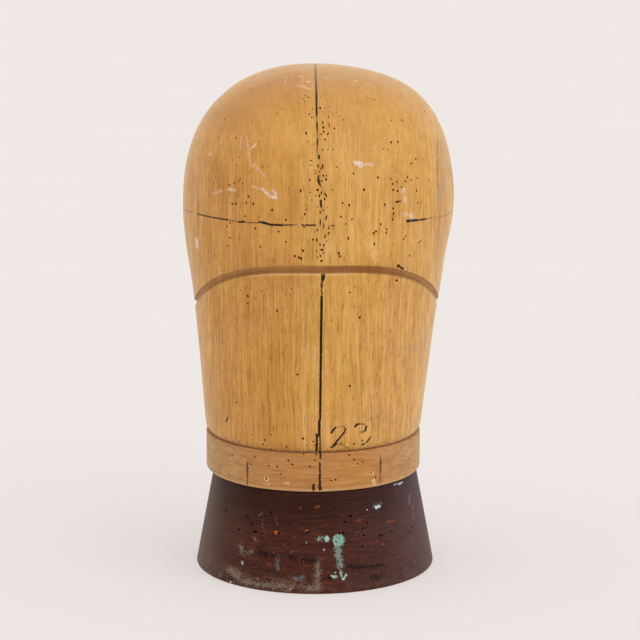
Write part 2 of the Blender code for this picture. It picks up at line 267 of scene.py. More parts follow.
def keep_behind(piece, place, facing):
    """Cuts the piece along a plane, keeps what lies behind it and closes the cut."""
    select_only(piece)
    bpy.ops.object.mode_set(mode="EDIT")
    bpy.ops.mesh.select_all(action="SELECT")
    bpy.ops.mesh.bisect(plane_co=place, plane_no=facing, use_fill=True, clear_outer=True)
    bpy.ops.object.mode_set(mode="OBJECT")


head = carve_head()
smooth_modifier(head, 2)
wear_uneven(head, "hand_carving", UNEVEN_SIZE, UNEVENNESS)
finish_modifiers(head)
keep_behind(head, (0.0, 0.0, COLLAR_TOP + SEAT_GAP), (0.0, 0.0, -1.0))


# The tie groove is gouged round the head after it is smooth. It runs level over the brow, falls
# past the sides and runs level again round the nape. Years of cord have rounded its lips over.
GROOVE_SIDE_HEIGHT = 0.0783
GROOVE_BROW_RISE = 0.0333
GROOVE_NAPE_DROP = 0.0368
GROOVE_LEVEL = 3.22
GROOVE_FALL = 0.71
GROOVE_TURN = math.radians(1.5)
GOUGE_RADIUS = 0.0020
GOUGE_DEPTH = 0.0017
LIP_RADIUS = 0.0120
LIP_DEPTH = 0.00045
GROOVE_STEPS = 144


def groove_height(angle):
    """Height of the tie groove over the neck, at an angle round the head."""
    aside = abs(math.cos(angle - GROOVE_TURN))
    share = (1.0 - aside ** GROOVE_LEVEL) ** GROOVE_FALL
    if math.sin(angle - GROOVE_TURN) < 0.0:
        return GROOVE_SIDE_HEIGHT + GROOVE_BROW_RISE * share
    return GROOVE_SIDE_HEIGHT - GROOVE_NAPE_DROP * share


def round_the_head(piece, lift, steps=GROOVE_STEPS):
    """Points round the tie groove, that far out from the head's surface."""
    points = []
    for step in range(steps):
        angle = math.tau * step / steps
        height = groove_height(angle)
        left, right, front, back, middle = ring_sizes(height)
        side = right if math.cos(angle) > 0.0 else left
        depth = front if math.sin(angle) < 0.0 else back
        guess = Vector((middle + side * math.cos(angle), depth * math.sin(angle), NECK_PLANE + height))
        _, point, facing, _ = piece.closest_point_on_mesh(guess)
        points.append(point + facing * lift)
    return points


def cord_cutter(name, points, radius):
    """A closed round cord along the points, as a mesh to cut with."""
    curve = bpy.data.curves.new(name, "CURVE")
    curve.dimensions = "3D"
    curve.bevel_depth = radius
    curve.bevel_resolution = 3
    line = curve.splines.new("POLY")
    line.points.add(len(points) - 1)
    for place, point in zip(line.points, points):
        place.co = (*point, 1.0)
    line.use_cyclic_u = True
    cutter = bpy.data.objects.new(name, curve)
    bpy.context.scene.collection.objects.link(cutter)
    select_only(cutter)
    bpy.ops.object.convert(target="MESH")
    return bpy.context.object


def cut(piece, cutter, operation="DIFFERENCE", overlapping=False):
    """Cuts the piece with the cutter, and removes the cutter."""
    hollow = piece.modifiers.new("cut", "BOOLEAN")
    hollow.operation = operation
    hollow.solver = "EXACT"
    hollow.use_self = overlapping
    hollow.material_mode = "TRANSFER"
    hollow.object = cutter
    finish_modifiers(piece)
    bpy.data.objects.remove(cutter, do_unlink=True)


groove_path = round_the_head(head, 0.0, 5 * GROOVE_STEPS)
groove_lip = cord_cutter("groove_lip", round_the_head(head, LIP_RADIUS - LIP_DEPTH), LIP_RADIUS)
groove_gouge = cord_cutter("groove_gouge", round_the_head(head, GOUGE_RADIUS - GOUGE_DEPTH), GOUGE_RADIUS)


# Every point on the head is placed before it is cut: the pins that held hats in shape left round
# holes all over it, and torn fibres along the centre line, where each hat was pinned down first.
PIN_WIDTH = 0.00115
FINE_PIN_WIDTH = 0.00075
PIN_DEPTH = 0.0022
FINE_PIN_DEPTH = 0.0006
TEAR_DEPTH = 0.0016
PIXEL_SIZE = 0.000573
PIN_SIDES = 8
PIN_MOUTH = 0.60
PIN_MOUTH_LIFT = 0.25
PIN_STEPS = ((0.25, 0.85), (0.35, 0.80), (0.40, 0.05))
PIN_ROW_HEIGHTS = (0.139, 0.128, 0.090, 0.012)
PIN_ROW_SPREAD = 0.012
LOWEST_PIN = 0.004
TORN_FIBRE_SIZE = 0.0011
TORN_RELIEF = 0.0002
PIN_TILT = 25
PIN_ARC = (15.0, 165.0)
PIN_SEARCH = (0.10, 0.12)
PINS_OUT_OF_SIGHT = 150
PIN_SEED = 23
WIDE_PIN_PIXELS = (
    (320.2, 108.1), (328.4, 117.1), (334.4, 128.4), (325, 139.5), (311, 160.5), (323.2, 175.6),
    (321.6, 181), (326, 179.4), (317.6, 190), (324.6, 199), (342.8, 203), (349.3, 205.2),
    (304.7, 214.2), (340.9, 216.8), (351.9, 219.1), (317.2, 230.1), (328.7, 233.2), (312.9, 239.7),
    (320, 244.5), (338.8, 253.4), (339.9, 256.3), (303.2, 251), (295.2, 256), (299, 257.5),
    (301.1, 258.6), (376, 231.4), (373.6, 233.3), (350, 292.6), (359.7, 317.4), (247.8, 303.2),
    (277, 311), (236.8, 402.1), (297.4, 374.5), (349.8, 385.9), (303, 438.5), (313.3, 441.5),
    (238.3, 441.5), (264.7, 440), (262.8, 444.2), (271.3, 448.8), (354, 444), (362.4, 440.7),
    (372.6, 447.2), (255.5, 228.5), (278.6, 231.6), (285.9, 219.8), (272, 210), (248.4, 196.6),
    (232.8, 203.8), (236, 203.8), (253.3, 203.8), (245.3, 216), (230, 222.7), (227, 226.3),
    (230, 237.7), (227, 245.7), (260.3, 246.6), (285.9, 241.7), (294.8, 256.2), (236.2, 137.7),
    (391.1, 142.3), (384.6, 204.6), (353.5, 173.4), (378, 177.5), (390.9, 178.7), (393.2, 208.4),
    (393.7, 213.7), (392.7, 219.4), (409.5, 255.7), (420.5, 240.9), (418.6, 242.4), (405.7, 236.3),
    (403.8, 239.2), (417.6, 202.7), (401.6, 187), (393.3, 190), (397.6, 191), (416.7, 191),
    (417.2, 178), (407.6, 177.2), (411.4, 179.6), (405.7, 181.3), (397, 182), (392.8, 184),
    (411.4, 163.3), (415.7, 159), (397.8, 142), (424.8, 111.7), (401.9, 120.3), (390.9, 120.5),
    (364, 189.7), (380.8, 224.2), (386.8, 229.2), (386.2, 232.6),
)
FINE_PIN_PIXELS = (
    (324.6, 108.1), (329.4, 106.6), (311.6, 117.3), (313.9, 117.3), (340.3, 115.9), (343, 119.8),
    (304.7, 101.8), (303.2, 99.1), (307.8, 97.4), (324.6, 93.7), (320.6, 97), (307.4, 141.6),
    (322.7, 149.8), (327.9, 149.6), (333.2, 149.4), (336.5, 167.2), (310.5, 165.1), (315.5, 171),
    (315.8, 173.5), (319.1, 171.8), (326.2, 175.6), (310.1, 192.5), (316, 195.9), (311.8, 200.1),
    (332.9, 189.8), (317.7, 207.2), (327.5, 207.4), (323.1, 210.2), (306.5, 209.3), (326.5, 241),
    (316.6, 251.2), (317.2, 257.1), (346, 224), (383.7, 149), (387.5, 149.5), (369.3, 98.8),
    (374.4, 99.7), (358.3, 86.8), (218.4, 137.7), (224.6, 119.4), (277.3, 113.6), (282.2, 108.7),
    (312.6, 109), (214.8, 161.3), (236.7, 165), (239, 157), (262.1, 167.6), (268.4, 166),
    (249.6, 172.5), (240.3, 178.7), (215.7, 177.4), (213.5, 182.3), (230, 185), (234, 183.2),
    (242.5, 183.2), (243.4, 191.7), (288.5, 188.6), (331.5, 320.3), (390.6, 330.5), (251.4, 435),
    (271.7, 434.8), (306.8, 445.5), (330.5, 447.7), (436.8, 279.2), (321.5, 284.5), (321.7, 288),
    (261.3, 291), (291.7, 288.8), (290.4, 294.6), (365, 322.5), (372.2, 333.7), (282, 353.8),
    (245.1, 425.3), (376.3, 393.4), (321.3, 291.5), (231.5, 203.2), (239, 181), (228.3, 184.5),
    (309.4, 97.2), (305.3, 95.6),
)
TEAR_PIXELS = (
    (247.8, 296.1, 3.1, 3.1, 0), (323.3, 127.4, 2.2, 4, 0), (323.7, 131.6, 1.8, 3.4, 30),
    (321.4, 134.3, 1.6, 2.2, 0), (327.9, 133.9, 1.6, 3.4, -25), (306.1, 133.2, 1.7, 4.5, 25),
    (309.1, 114, 1.3, 3, 0), (318.1, 165.9, 1.5, 4.2, 0), (320.9, 168.4, 1.6, 2.2, 0),
    (322.7, 166.4, 1.7, 5.7, 0), (321.4, 192.8, 1.5, 4, 0), (319.5, 195.9, 1.5, 4, 0),
    (325.8, 195.1, 1.6, 5, 25), (309.9, 179.8, 1.4, 3, -15), (300.5, 190.9, 1.6, 4, -20),
    (320.2, 212.1, 1.4, 3.5, 0), (320.2, 222.4, 1.5, 6.7, 0), (326.2, 217.7, 1.6, 6.2, -15),
    (323.9, 225.7, 1.2, 6, 0), (325.2, 236.6, 1.4, 4.5, -20), (316.8, 239.9, 1.3, 5.4, 10),
    (323.9, 245.2, 1.5, 4, -10), (322, 249.8, 3.4, 2.6, 0), (323.7, 252.9, 1.2, 2.4, 0),
    (320.6, 256, 1.7, 2.4, 0), (321.4, 260.9, 2.6, 2.6, 0), (348.4, 238.5, 1.7, 3.6, -10),
    (374.3, 244, 2, 3.8, 5), (286.5, 447.1, 1.7, 3.8, -10), (246.2, 202.6, 1.7, 3.6, 10),
    (429, 180.6, 1.4, 4, -20), (398.2, 265.9, 4.8, 3.8, 15), (401.9, 268.4, 2, 6, 60),
    (396.6, 280.4, 3.8, 2.6, 0), (398.2, 201.8, 5.6, 1.3, 14), (329.2, 125, 1, 7, 0),
    (322.8, 122.6, 1.4, 4, 0), (302.1, 249.8, 1.2, 2.6, 15), (328.7, 228, 1.2, 3, 0),
)


def linear(colour):
    """An sRGB hex colour as the linear one that Blender's sockets take."""
    parts = [int(colour[index:index + 2], 16) / 255.0 for index in (1, 3, 5)]
    return (*(part / 12.92 if part <= 0.04045 else ((part + 0.055) / 1.055) ** 2.4 for part in parts), 1.0)


def node(tree, kind, inputs=None, **settings):
    """Adds a node with its settings. An input is a plain value, a hex colour, the socket that feeds
    it, or a node, which feeds it from its first output in use."""
    made = tree.nodes.new("ShaderNode" + kind)
    for name, value in settings.items():
        setattr(made, name, value)
    for name, value in (inputs or {}).items():
        if isinstance(value, bpy.types.Node):
            value = next(output for output in value.outputs if output.enabled)
        if isinstance(value, bpy.types.NodeSocket):
            tree.links.new(value, made.inputs[name])
        else:
            made.inputs[name].default_value = linear(value) if isinstance(value, str) else value
    return made


def new_material(name):
    """An empty material, its node tree, and the socket of each point's place in metres."""
    material = bpy.data.materials.new(name)
    material.use_nodes = True
    material.node_tree.nodes.clear()
    place = node(material.node_tree, "TexCoord").outputs["Object"]
    return material, material.node_tree, place


def pin_hole_wood(name, dark, light):
    """Bruised end grain in a pin hole: dull and nearly black-brown, with paler torn fibres."""
    material, tree, place = new_material(name)
    fibres = node(tree, "TexNoise", {"Vector": place, "Scale": 1.0 / TORN_FIBRE_SIZE, "Detail": 2.0})
    shade = node(tree, "Mix", {0: fibres, 6: dark, 7: light}, data_type="RGBA")
    relief = node(tree, "Bump", {"Height": fibres, "Distance": TORN_RELIEF})
    surface = node(tree, "BsdfPrincipled", {
        "Base Color": shade, "Roughness": 0.9, "Specular IOR Level": 0.1, "Normal": relief})
    node(tree, "OutputMaterial", {"Surface": surface})
    return material


def model_pin_hole():
    """The hole of one pin, one unit wide and deep, to cut with: a flared mouth over a long taper."""
    pin = start_shape("pin_hole_model", PIN_SIDES, PIN_MOUTH, (0.0, 0.0, PIN_MOUTH_LIFT))
    for drop, narrowing in PIN_STEPS:
        extrude((0.0, 0.0, -drop))
        bpy.ops.transform.resize(value=(narrowing, narrowing, 1.0))
    bpy.ops.mesh.merge(type="CENTER")
    close_shape(pin)
    return pin


def pin_at(point, facing, wide, tall, deep, tilt):
    """Where a pin hole stands in the wood: its turn to the surface, its tilt and its size."""
    upright = facing.to_track_quat("Z", "Y").to_matrix().to_4x4()
    tilted = Matrix.Rotation(math.radians(tilt), 4, "Z")
    return Matrix.Translation(point) @ upright @ tilted @ Matrix.Diagonal((wide, tall, deep, 1.0))


def drill(piece, pin, places):
    """Cuts a copy of the pin hole out of the piece at each place."""
    copies = []
    for place in places:
        copy = bpy.data.objects.new("pin_hole", pin.data.copy())
        copy.data.transform(place)
        bpy.context.scene.collection.objects.link(copy)
        copies.append(copy)
    bpy.ops.object.select_all(action="DESELECT")
    for copy in copies:
        copy.select_set(True)
    bpy.context.view_layer.objects.active = copies[0]
    bpy.ops.object.join()
    cut(piece, bpy.context.object, overlapping=True)


pin = model_pin_hole()
PIN_WOOD = pin_hole_wood("dirty_pin_hole_wood", "#371a08", "#7a4519")
pin.data.materials.append(PIN_WOOD)
bpy.context.view_layer.update()
dice = random.Random(PIN_SEED)
pins = []
for pixels, usual_width, narrowest, tallest, depth in (
    (WIDE_PIN_PIXELS, PIN_WIDTH, 0.85, 1.35, PIN_DEPTH),
    (FINE_PIN_PIXELS, FINE_PIN_WIDTH, 0.8, 1.6, FINE_PIN_DEPTH),
):
    for across, down in pixels:
        point, facing = seen(head, across, down)
        width = usual_width * dice.uniform(narrowest, 1.2)
        height = width * dice.uniform(1.0, tallest)
        tilt = dice.uniform(-PIN_TILT, PIN_TILT)
        pins.append(pin_at(point, facing, width, height, depth, tilt))
for across, down, wide, tall, tilt in TEAR_PIXELS:
    point, facing = seen(head, across, down)
    pins.append(pin_at(point, facing, wide * PIXEL_SIZE, tall * PIXEL_SIZE, TEAR_DEPTH, tilt))
for _ in range(PINS_OUT_OF_SIGHT):
    angle = math.radians(dice.uniform(*PIN_ARC))
    height = NECK_PLANE + dice.choice(PIN_ROW_HEIGHTS) + dice.gauss(0.0, PIN_ROW_SPREAD)
    guess = Vector((PIN_SEARCH[0] * math.cos(angle), PIN_SEARCH[1] * math.sin(angle),
                    max(height, NECK_PLANE + LOWEST_PIN)))
    _, point, facing, _ = head.closest_point_on_mesh(guess)
    width = dice.uniform(FINE_PIN_WIDTH, PIN_WIDTH)
    tilt = dice.uniform(-PIN_TILT, PIN_TILT)
    pins.append(pin_at(point, facing, width, width * 1.2, PIN_DEPTH, tilt))


# The head's wood is a pale close-grained hardwood gone amber under old shellac, rubbed and handled
# for years. The eye sees soft yellow and pinkish patches, fine upright streaks and short dark pores.
FIBRE_SIZE = (0.0009, 0.0060, 0.0320)
STREAK_SIZE = (0.0028, 0.0200, 0.0900)
PORE_SIZE = (0.00062, 0.0014, 0.0060)
PORE_COLOUR = "#7a4515"
MOTTLE_SIZE = 0.0085
PATCH_SIZE = 0.034
DRIFT_SIZE = 0.045
DRIFT_REACH = (0.004, 0.004, 0.0)
RAGGED_SIZE = 0.0012
RUBBED_SIZE = 0.0019
FIRM_RAGGEDNESS = 0.0007


def stretched_noise(tree, place, size, detail):
    """Noise drawn out along Z into streaks. Size is their width, depth and length."""
    drawn_out = node(tree, "VectorMath", {0: place, 1: tuple(1.0 / side for side in size)},
                     operation="MULTIPLY")
    return node(tree, "TexNoise",
                {"Vector": drawn_out, "Scale": 1.0, "Detail": detail, "Roughness": 0.6})


def grain(tree, place, turn, shift):
    """The grain of one board, which runs along the turned Z: its tone, its slow change of hue, its pores."""
    board = node(tree, "Mapping", {"Vector": place, "Rotation": turn, "Location": shift})
    drift = node(tree, "TexNoise", {"Vector": board, "Scale": 1.0 / DRIFT_SIZE, "Detail": 1.0})
    wander = node(tree, "VectorMath", {0: drift.outputs["Color"], 1: DRIFT_REACH, 2: board},
                  operation="MULTIPLY_ADD")
    mottle = node(tree, "TexNoise",
                  {"Vector": board, "Scale": 1.0 / MOTTLE_SIZE, "Detail": 3.0, "Roughness": 0.55})
    fibres = stretched_noise(tree, wander, FIBRE_SIZE, 2.0)
    streaks = stretched_noise(tree, wander, STREAK_SIZE, 2.0)
    tone = node(tree, "Math", {0: mottle, 1: 0.60, 2: -0.95}, operation="MULTIPLY_ADD")
    tone = node(tree, "Math", {0: streaks, 1: 0.85, 2: tone}, operation="MULTIPLY_ADD")
    tone = node(tree, "Math", {0: fibres, 1: 1.45, 2: tone}, operation="MULTIPLY_ADD",
                use_clamp=True)
    patches = node(tree, "TexNoise", {"Vector": board, "Scale": 1.0 / PATCH_SIZE, "Detail": 3.0})
    hue = node(tree, "MapRange", {"Value": patches, "From Min": 0.30, "From Max": 0.72})
    pores = stretched_noise(tree, wander, PORE_SIZE, 1.0)
    pores = node(tree, "MapRange", {"Value": pores, "From Min": 0.58, "From Max": 0.72})
    return tone, hue, pores


def coated(tree, colour, *coats):
    """A colour with coats laid over it in turn. Each coat is the share that it covers and its colour."""
    for share, coat in coats:
        colour = node(tree, "Mix", {0: share, 6: colour, 7: coat}, data_type="RGBA")
    return colour


def grained_colour(tree, tone, hue, pores, yellow, pink, pore_strength):
    """A board's colour: each of its two hues runs from a dark to a light tone, with dark pores on top."""
    dark, light = (coated(tree, yellow[end], (hue, pink[end])) for end in (0, 1))
    filled = node(tree, "Math", {0: pores, 1: pore_strength}, operation="MULTIPLY")
    return coated(tree, dark, (tone, light), (filled, PORE_COLOUR))


def varnished(tree, colour, roughness, relief, depth, gloss, rim):
    """Old varnished wood's surface: satin, with the grain standing a little through the film."""
    bumps = node(tree, "Bump", {"Height": relief, "Strength": 0.6, "Distance": depth})
    surface = node(tree, "BsdfPrincipled", {
        "Base Color": colour, "Roughness": roughness, "IOR": 1.5, "Specular IOR Level": gloss,
        "Sheen Weight": rim, "Sheen Roughness": 0.35, "Sheen Tint": "#fff0cc", "Normal": bumps})
    node(tree, "OutputMaterial", {"Surface": surface})


def laid_strokes(piece, drawn, flat):
    """Hand-drawn strokes laid on a piece. Each is a width in pixels and the pixels that it runs through.

    Flat strokes keep the shape that they have from the front, however the surface curves away.
    """
    laid = []
    for width, *pixels in drawn:
        points = [seen(piece, across, down)[0] for across, down in pixels]
        if flat:
            points = [Vector((point.x, 0.0, point.z)) for point in points]
        laid += [(start, end, width * PIXEL_SIZE) for start, end in zip(points, points[1:] or points)]
    return laid


def stroke_edge(tree, place, strokes):
    """How far each point lies from the edge of the nearest of the strokes, in metres."""
    nearest = None
    for start, end, width in strokes:
        run = end - start
        if run.length < 1e-6:
            away = node(tree, "VectorMath", {0: place, 1: start}, operation="DISTANCE")
        else:
            offset = node(tree, "VectorMath", {0: place, 1: start}, operation="SUBTRACT")
            along = node(tree, "VectorMath", {0: offset, 1: run / run.length_squared},
                         operation="DOT_PRODUCT")
            along = node(tree, "Clamp", {"Value": along})
            back = node(tree, "VectorMath", {0: -run, "Scale": along}, operation="SCALE")
            away = node(tree, "VectorMath", {0: offset, 1: back}, operation="ADD")
            away = node(tree, "VectorMath", {0: away}, operation="LENGTH")
        edge = node(tree, "Math", {0: away, 1: width / 2.0}, operation="SUBTRACT")
        if nearest is None:
            nearest = edge
        else:
            nearest = node(tree, "Math", {0: nearest, 1: edge}, operation="MINIMUM")
    return nearest


def marked(tree, place, colour, marks, low=-1.0, high=1.0):
    """The colour with the marks on it that start between two X places, their edges broken up by the grain."""
    flat_place = node(tree, "VectorMath", {0: place, 1: (1.0, 0.0, 1.0)}, operation="MULTIPLY")
    axes = node(tree, "SeparateXYZ", {"Vector": place})
    in_front = node(tree, "Math", {0: axes.outputs["Y"], 1: 0.0}, operation="LESS_THAN")
    ragged = node(tree, "TexNoise", {"Vector": place, "Scale": 1.0 / RAGGED_SIZE, "Detail": 3.0})
    ragged = node(tree, "MapRange", {"Value": ragged, "From Min": 0.30, "From Max": 0.70})
    fading_share = node(tree, "TexNoise", {"Vector": place, "Scale": 1.0 / RUBBED_SIZE, "Detail": 2.0})
    fading_share = node(tree, "MapRange", {
        "Value": fading_share, "From Min": 0.36, "From Max": 0.52, "To Min": 0.50})
    shown = node(tree, "Math", {0: in_front, 1: fading_share}, operation="MULTIPLY")
    for mark, strength, softness, raggedness, flat, strokes in marks:
        strokes = [stroke for stroke in strokes if low < stroke[0].x < high]
        if not strokes:
            continue
        edge = stroke_edge(tree, flat_place if flat else place, strokes)
        edge = node(tree, "Math", {0: ragged, 1: raggedness, 2: edge}, operation="MULTIPLY_ADD")
        where = shown if raggedness > FIRM_RAGGEDNESS else in_front
        most = node(tree, "Math", {0: where, 1: strength}, operation="MULTIPLY")
        cover = node(tree, "MapRange", {
            "Value": edge, "From Min": raggedness / 2 + softness, "From Max": raggedness / 2 - softness,
            "To Max": most}, interpolation_type="SMOOTHSTEP")
        colour = coated(tree, colour, (cover, mark))
    return colour


def laid_marks(piece, groups):
    """Groups of marks laid on a piece: each is a colour, a strength, its softness and raggedness in
    metres, whether it is flat, and its strokes."""
    return [(*finish, flat, laid_strokes(piece, drawn, flat)) for *finish, flat, drawn in groups]


def hand_curve(tree, along, pairs):
    """A value that changes along a line drawn through the given pairs of place and value."""
    low, high = pairs[0][0], pairs[-1][0]
    least = min(value for _, value in pairs)
    most = max(max(value for _, value in pairs), least + 1e-9)
    share = node(tree, "MapRange", {"Value": along, "From Min": low, "From Max": high})
    drawn = node(tree, "FloatCurve", {"Value": share})
    line = drawn.mapping.curves[0]
    for place, value in pairs[1:-1]:
        line.points.new((place - low) / (high - low), (value - least) / (most - least))
    for index, (_, value) in ((0, pairs[0]), (-1, pairs[-1])):
        line.points[index].location.y = (value - least) / (most - least)
    for point in line.points:
        point.handle_type = "VECTOR"
    drawn.mapping.update()
    return node(tree, "MapRange", {"Value": drawn, "To Min": least, "To Max": most})


CENTRE_LINE_PIXELS = (
    (65, 315.4, 2, 0.72), (91, 316.4, 2.1, 0.82), (92.5, 316.4, 2, 0.96), (115.5, 316.6, 2, 0.95),
    (116.6, 316.7, 1.8, 0.35), (121.4, 316.9, 1.8, 0.35), (122.4, 317, 1.9, 0.92),
    (128, 317.1, 1.8, 0.9), (129.5, 317.2, 1.8, 0.75), (132.4, 317.3, 1.8, 0.75),
    (133.4, 317.4, 1.9, 0.45), (138, 317.5, 1.9, 0.45), (139, 317.6, 2, 0.92), (145, 317.4, 1.9, 0.9),
    (146, 317.3, 1.3, 0.62), (153.2, 317.2, 1.2, 0.55), (154.2, 317.8, 1.2, 0), (155, 318.9, 2.2, 0.96),
    (158.6, 318.9, 2.2, 0.96), (159.6, 318.6, 1.4, 0), (174.2, 318.5, 2, 0), (175.2, 318.5, 2.2, 0.8),
    (178, 318.2, 2, 0.9), (180.4, 318.5, 2.6, 0.97), (183.7, 319.2, 2.6, 0.94),
    (185.8, 320.4, 1.7, 0.8), (188.3, 322.3, 1.2, 0.3), (191, 323.9, 1.3, 0.25), (193, 325, 1.6, 0.6),
    (195.4, 326.2, 1.3, 0.5), (196.4, 326, 1.2, 0), (199.4, 320.6, 1.8, 0), (200.2, 320.7, 2.2, 0.96),
    (207.4, 321.2, 2.2, 0.96), (208.4, 321.3, 1.5, 0), (271.8, 323, 3.6, 0), (273, 323.2, 4.4, 0.8),
    (277, 323.2, 4.4, 0.97), (281, 322.5, 2.8, 0.97), (282.6, 321.9, 2, 0.6), (284.4, 321.7, 2.4, 0.92),
    (287.4, 321.7, 2.2, 0.92), (288.6, 321.6, 1.6, 0.25), (290.4, 321.4, 2, 0.92),
    (291.4, 321.6, 1.6, 0.3), (293.4, 322.2, 2, 0.92), (295.2, 321.8, 1.8, 0.5),
    (296.6, 321.7, 2.5, 0.98), (340, 321, 2.5, 0.99), (380, 320.6, 2.4, 0.99),
    (419.5, 320.1, 2.3, 0.98), (421, 319.3, 2.6, 0.98), (435.5, 319.3, 2.6, 0.98),
    (437, 320.1, 1.6, 0.92), (451, 320.1, 1.6, 0.9),
)
HAT_LINE_PIXELS = (
    (185.9, 210.6, 1.5, 0.55), (190.4, 211.8, 1.4, 0.5), (192.8, 212.4, 1.2, 0.05),
    (196.8, 213.7, 1.2, 0.05), (197.6, 213.9, 2, 0.82), (212.7, 217.3, 1.7, 0.84),
    (227.9, 219.8, 1.9, 0.9), (229, 220, 1.3, 0.55), (237.8, 221.6, 1.3, 0.5),
    (238.7, 221.8, 2.1, 0.92), (245, 221.8, 2.1, 0.92), (246, 222.1, 1.2, 0.3),
    (247.5, 222.6, 1.2, 0.62), (258, 222.9, 1.3, 0.62), (259, 221.9, 2.1, 0.98), (265.4, 223.1, 2.5, 1),
    (270.7, 224.6, 2.3, 1), (282.2, 225.2, 2.1, 1), (283.1, 225.2, 1.4, 0.45), (284, 225, 1.7, 0.88),
    (292, 224.9, 1.6, 0.82), (297, 225, 1.2, 0.38), (298.2, 225.1, 1, 0), (304.4, 225.2, 1.4, 0),
    (305.3, 225.2, 1.8, 0.9), (315.6, 225.2, 1.8, 0.9), (316.5, 225.3, 1.2, 0), (329.8, 225.6, 1, 0),
    (330.8, 225.6, 1.5, 0.75), (334.4, 225.6, 1.5, 0.75), (335.4, 225.6, 1, 0), (405.6, 221.1, 1.5, 0),
    (406.6, 221, 2.8, 1), (418, 220, 2.6, 1), (418.9, 219.9, 1.2, 0.4), (419.6, 219.9, 2.4, 0.96),
    (426.2, 219, 1.9, 0.96), (427, 218.7, 1.2, 0.5), (433, 217.8, 1.2, 0.62), (434, 217.7, 1, 0),
    (436.4, 217.6, 1, 0), (437.3, 217.5, 1.1, 0.48), (447.6, 214.6, 1.2, 0.52),
    (448.6, 213.3, 1.5, 0.48), (452.3, 210.9, 1.4, 0.52),
)
INK = "#0e0705"
